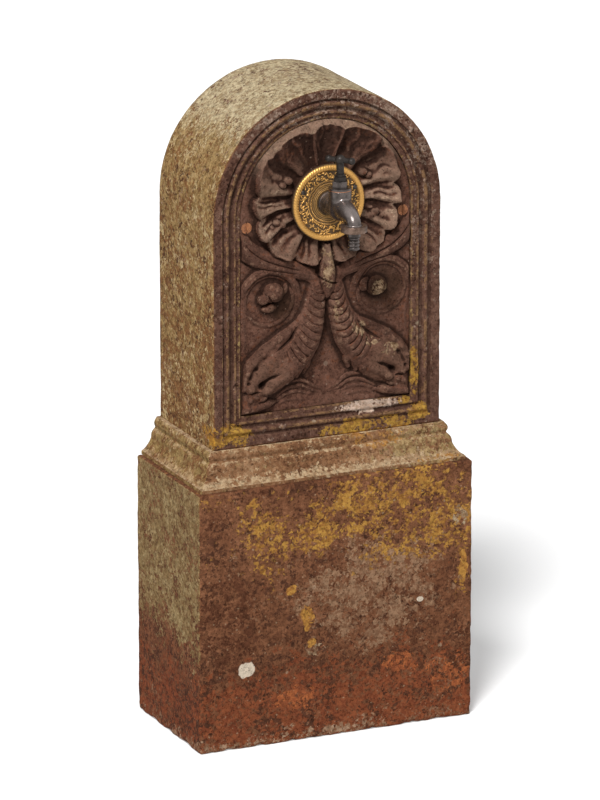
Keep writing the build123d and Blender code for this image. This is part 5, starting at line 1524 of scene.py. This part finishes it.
def gilt_finish():
    """Gilt brass, rubbed bright on its ornament and nearly black in its ground."""
    gilt = Finish("gilt brass")
    dirt = gilt.scale(gilt.noise(gilt.place, 0.2, 4.0, 0.65), -0.45, 0.32)
    paler_on_crests = gilt.step(gilt.calc("ADD", gilt.stored("crest"), dirt), -0.05, 1.3)
    gilt.fill(gilt.shader, {
        "Base Color": gilt.mix(paler_on_crests, (0.085, 0.047, 0.018), (0.575, 0.315, 0.09)),
        "Roughness": gilt.scale(paler_on_crests, 0.7, 0.4),
        "Metallic": gilt.scale(paler_on_crests, 0.35, 1.0),
        "Normal": gilt.bump(gilt.noise(gilt.place, 0.9, 3.0, 0.6), 0.4, 0.2),
    })
    return gilt.material


# Dressing

bronze = worn_metal("dark bronze", (0.045, 0.037, 0.033), (0.11, 0.09, 0.083), 0.75, (0.34, 0.22))
# The tap body gets a painted highlight on what looks up
tap_bronze = worn_metal(
    "tap bronze", (0.055, 0.045, 0.04), (0.13, 0.107, 0.098), 0.75, (0.32, 0.2), top_highlight=0.39
)
black_bronze = worn_metal(
    "black bronze", (0.016, 0.0125, 0.0105), (0.034, 0.027, 0.023), 0.15, (0.5, 0.36), gloss=0.22
)
nut_bronze = worn_metal("brown bronze", (0.085, 0.052, 0.036), (0.2, 0.13, 0.096), 0.75, (0.55, 0.38))
rusty_steel = worn_metal(
    "rusty steel", (0.18, 0.066, 0.03), (0.43, 0.17, 0.066), 0.15, (0.9, 0.7), 0.3, 0.4
)
dark_steel = worn_metal("blackened steel", (0.03, 0.025, 0.022), (0.085, 0.07, 0.06), 0.7, (0.6, 0.4), 0.3)
copper = worn_metal("dull copper", (0.24, 0.10, 0.05), (0.46, 0.22, 0.13), 0.9, (0.5, 0.35), 0.3)
hemp = worn_metal("greased hemp", (0.16, 0.13, 0.09), (0.30, 0.25, 0.18), 0.0, (0.8, 0.6), 0.4, 0.4)
brass = worn_metal("plain brass", (0.34, 0.21, 0.07), (0.58, 0.40, 0.15), 0.95, (0.45, 0.28))
rubber = worn_metal("seal rubber", (0.014, 0.013, 0.012), (0.035, 0.033, 0.031), 0.0, (0.85, 0.65), 0.2)
zinc = worn_metal("galvanised steel", (0.28, 0.28, 0.275), (0.47, 0.48, 0.48), 0.85, (0.55, 0.36), 0.08)

make_plinth(plinth_finish())
make_cap(cap_finish())
make_hood(hood_finish())
make_panel(panel_finish())
make_escutcheon(gilt_finish())
soft_copy("tap_body", "cast_tap_body", 0.7, 5, tap_bronze, "fountain", melt=tap_joins)
soft_copy("crutch_handle", "forged_crutch", 0.4, 4, black_bronze, "spindle", swell=1.0)

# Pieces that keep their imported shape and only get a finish
KEPT_NODES = (
    (rusty_steel, ("panel_screws", "tie_bolts", "tie_washers", "tie_nuts")),
    (dark_steel, ("escutcheon_screws", "handle_pin")),
    (bronze, ("bonnet", "hose_tail")),
    (black_bronze, ("gland_nut", "spindle")),
    (nut_bronze, ("union_nut",)),
    (copper, ("bonnet_washer",)),
    (hemp, ("gland_packing",)),
    (brass, ("jumper_valve", "jumper_nut", "back_washer", "back_nut")),
    (rubber, ("jumper_washer", "union_washer", "pipe_bush")),
    (zinc, ("inlet_elbow", "riser_pipe", "supply_socket")),
)
for metal_finish, kept_names in KEPT_NODES:
    for kept_name in kept_names:
        for kept_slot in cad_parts[kept_name].material_slots:
            kept_slot.material = metal_finish


# Floor, light and camera

FLOOR_REACH = 40.0
FLOOR_GLOW = 0.34


def make_floor():
    """Pale floor that reads as white to the camera and keeps the shadow."""
    pale = Finish("pale floor")
    pale.fill(pale.shader, {
        "Base Color": (0.8, 0.8, 0.8),
        "Roughness": 0.9,
        "Specular IOR Level": 0.0,
        "Emission Color": (1, 1, 1),
        "Emission Strength": pale.calc("MULTIPLY", pale.seen_directly(), FLOOR_GLOW),
    })
    edge = FLOOR_REACH / MM
    points = [(-edge, -edge, 0), (edge, -edge, 0), (edge, edge, 0), (-edge, edge, 0)]
    floor = new_piece("floor", points, [(0, 1, 2, 3)])
    floor.data.materials.append(pale.material)


def make_lamp(name, towards, strength, softness):
    """Soft sun that shines from a direction."""
    lamp = bpy.data.lights.new(name, "SUN")
    lamp.energy = strength
    lamp.angle = math.radians(softness)
    holder = bpy.data.objects.new(name, lamp)
    holder.rotation_euler = Vector(towards).to_track_quat("Z", "Y").to_euler()
    bpy.context.scene.collection.objects.link(holder)


def make_sky(level):
    """Even white sky at a plain level, white to the camera and in reflections."""
    world = bpy.data.worlds.new("studio")
    world.use_nodes = True
    bpy.context.scene.world = world
    sky = Nodes(world.node_tree)
    strength = sky.scale(sky.seen_directly(), level, 1.0)
    sky.fill(world.node_tree.nodes["Background"].inputs, {"Color": (1, 1, 1), "Strength": strength})


CAMERA_YAW = math.radians(24.385)
CAMERA_PITCH = math.radians(16.725)
CAMERA_DISTANCE = 10.093
CAMERA_TARGET = Vector((0, 0, 0.480))
CAMERA_LENS = 304.83
FRAME_LONG_SIDE = 800
TARGET_OFF_CENTRE = (4.47, 6.92)


def make_camera():
    """Camera at the photograph's viewing angle."""
    lens = bpy.data.cameras.new("camera")
    lens.lens = CAMERA_LENS
    lens.sensor_width = 36.0
    lens.shift_x = -TARGET_OFF_CENTRE[0] / FRAME_LONG_SIDE
    lens.shift_y = TARGET_OFF_CENTRE[1] / FRAME_LONG_SIDE
    lens.clip_end = 200.0
    flat = math.cos(CAMERA_PITCH)
    back = Vector((-math.sin(CAMERA_YAW) * flat, -math.cos(CAMERA_YAW) * flat, math.sin(CAMERA_PITCH)))
    right = Vector((math.cos(CAMERA_YAW), -math.sin(CAMERA_YAW), 0))
    up = back.cross(right)
    turn = Matrix((right, up, back)).transposed().to_4x4()
    holder = bpy.data.objects.new("camera", lens)
    holder.matrix_world = Matrix.Translation(CAMERA_TARGET + back * CAMERA_DISTANCE) @ turn
    bpy.context.scene.collection.objects.link(holder)
    bpy.context.scene.camera = holder


make_floor()
make_lamp("key", (-0.42, -0.52, 0.75), 3.5, 14)
make_lamp("fill", (0.6, -0.7, 0.35), 0.15, 60)
make_sky(0.21)
make_camera()
bpy.context.scene.view_settings.view_transform = "Standard"
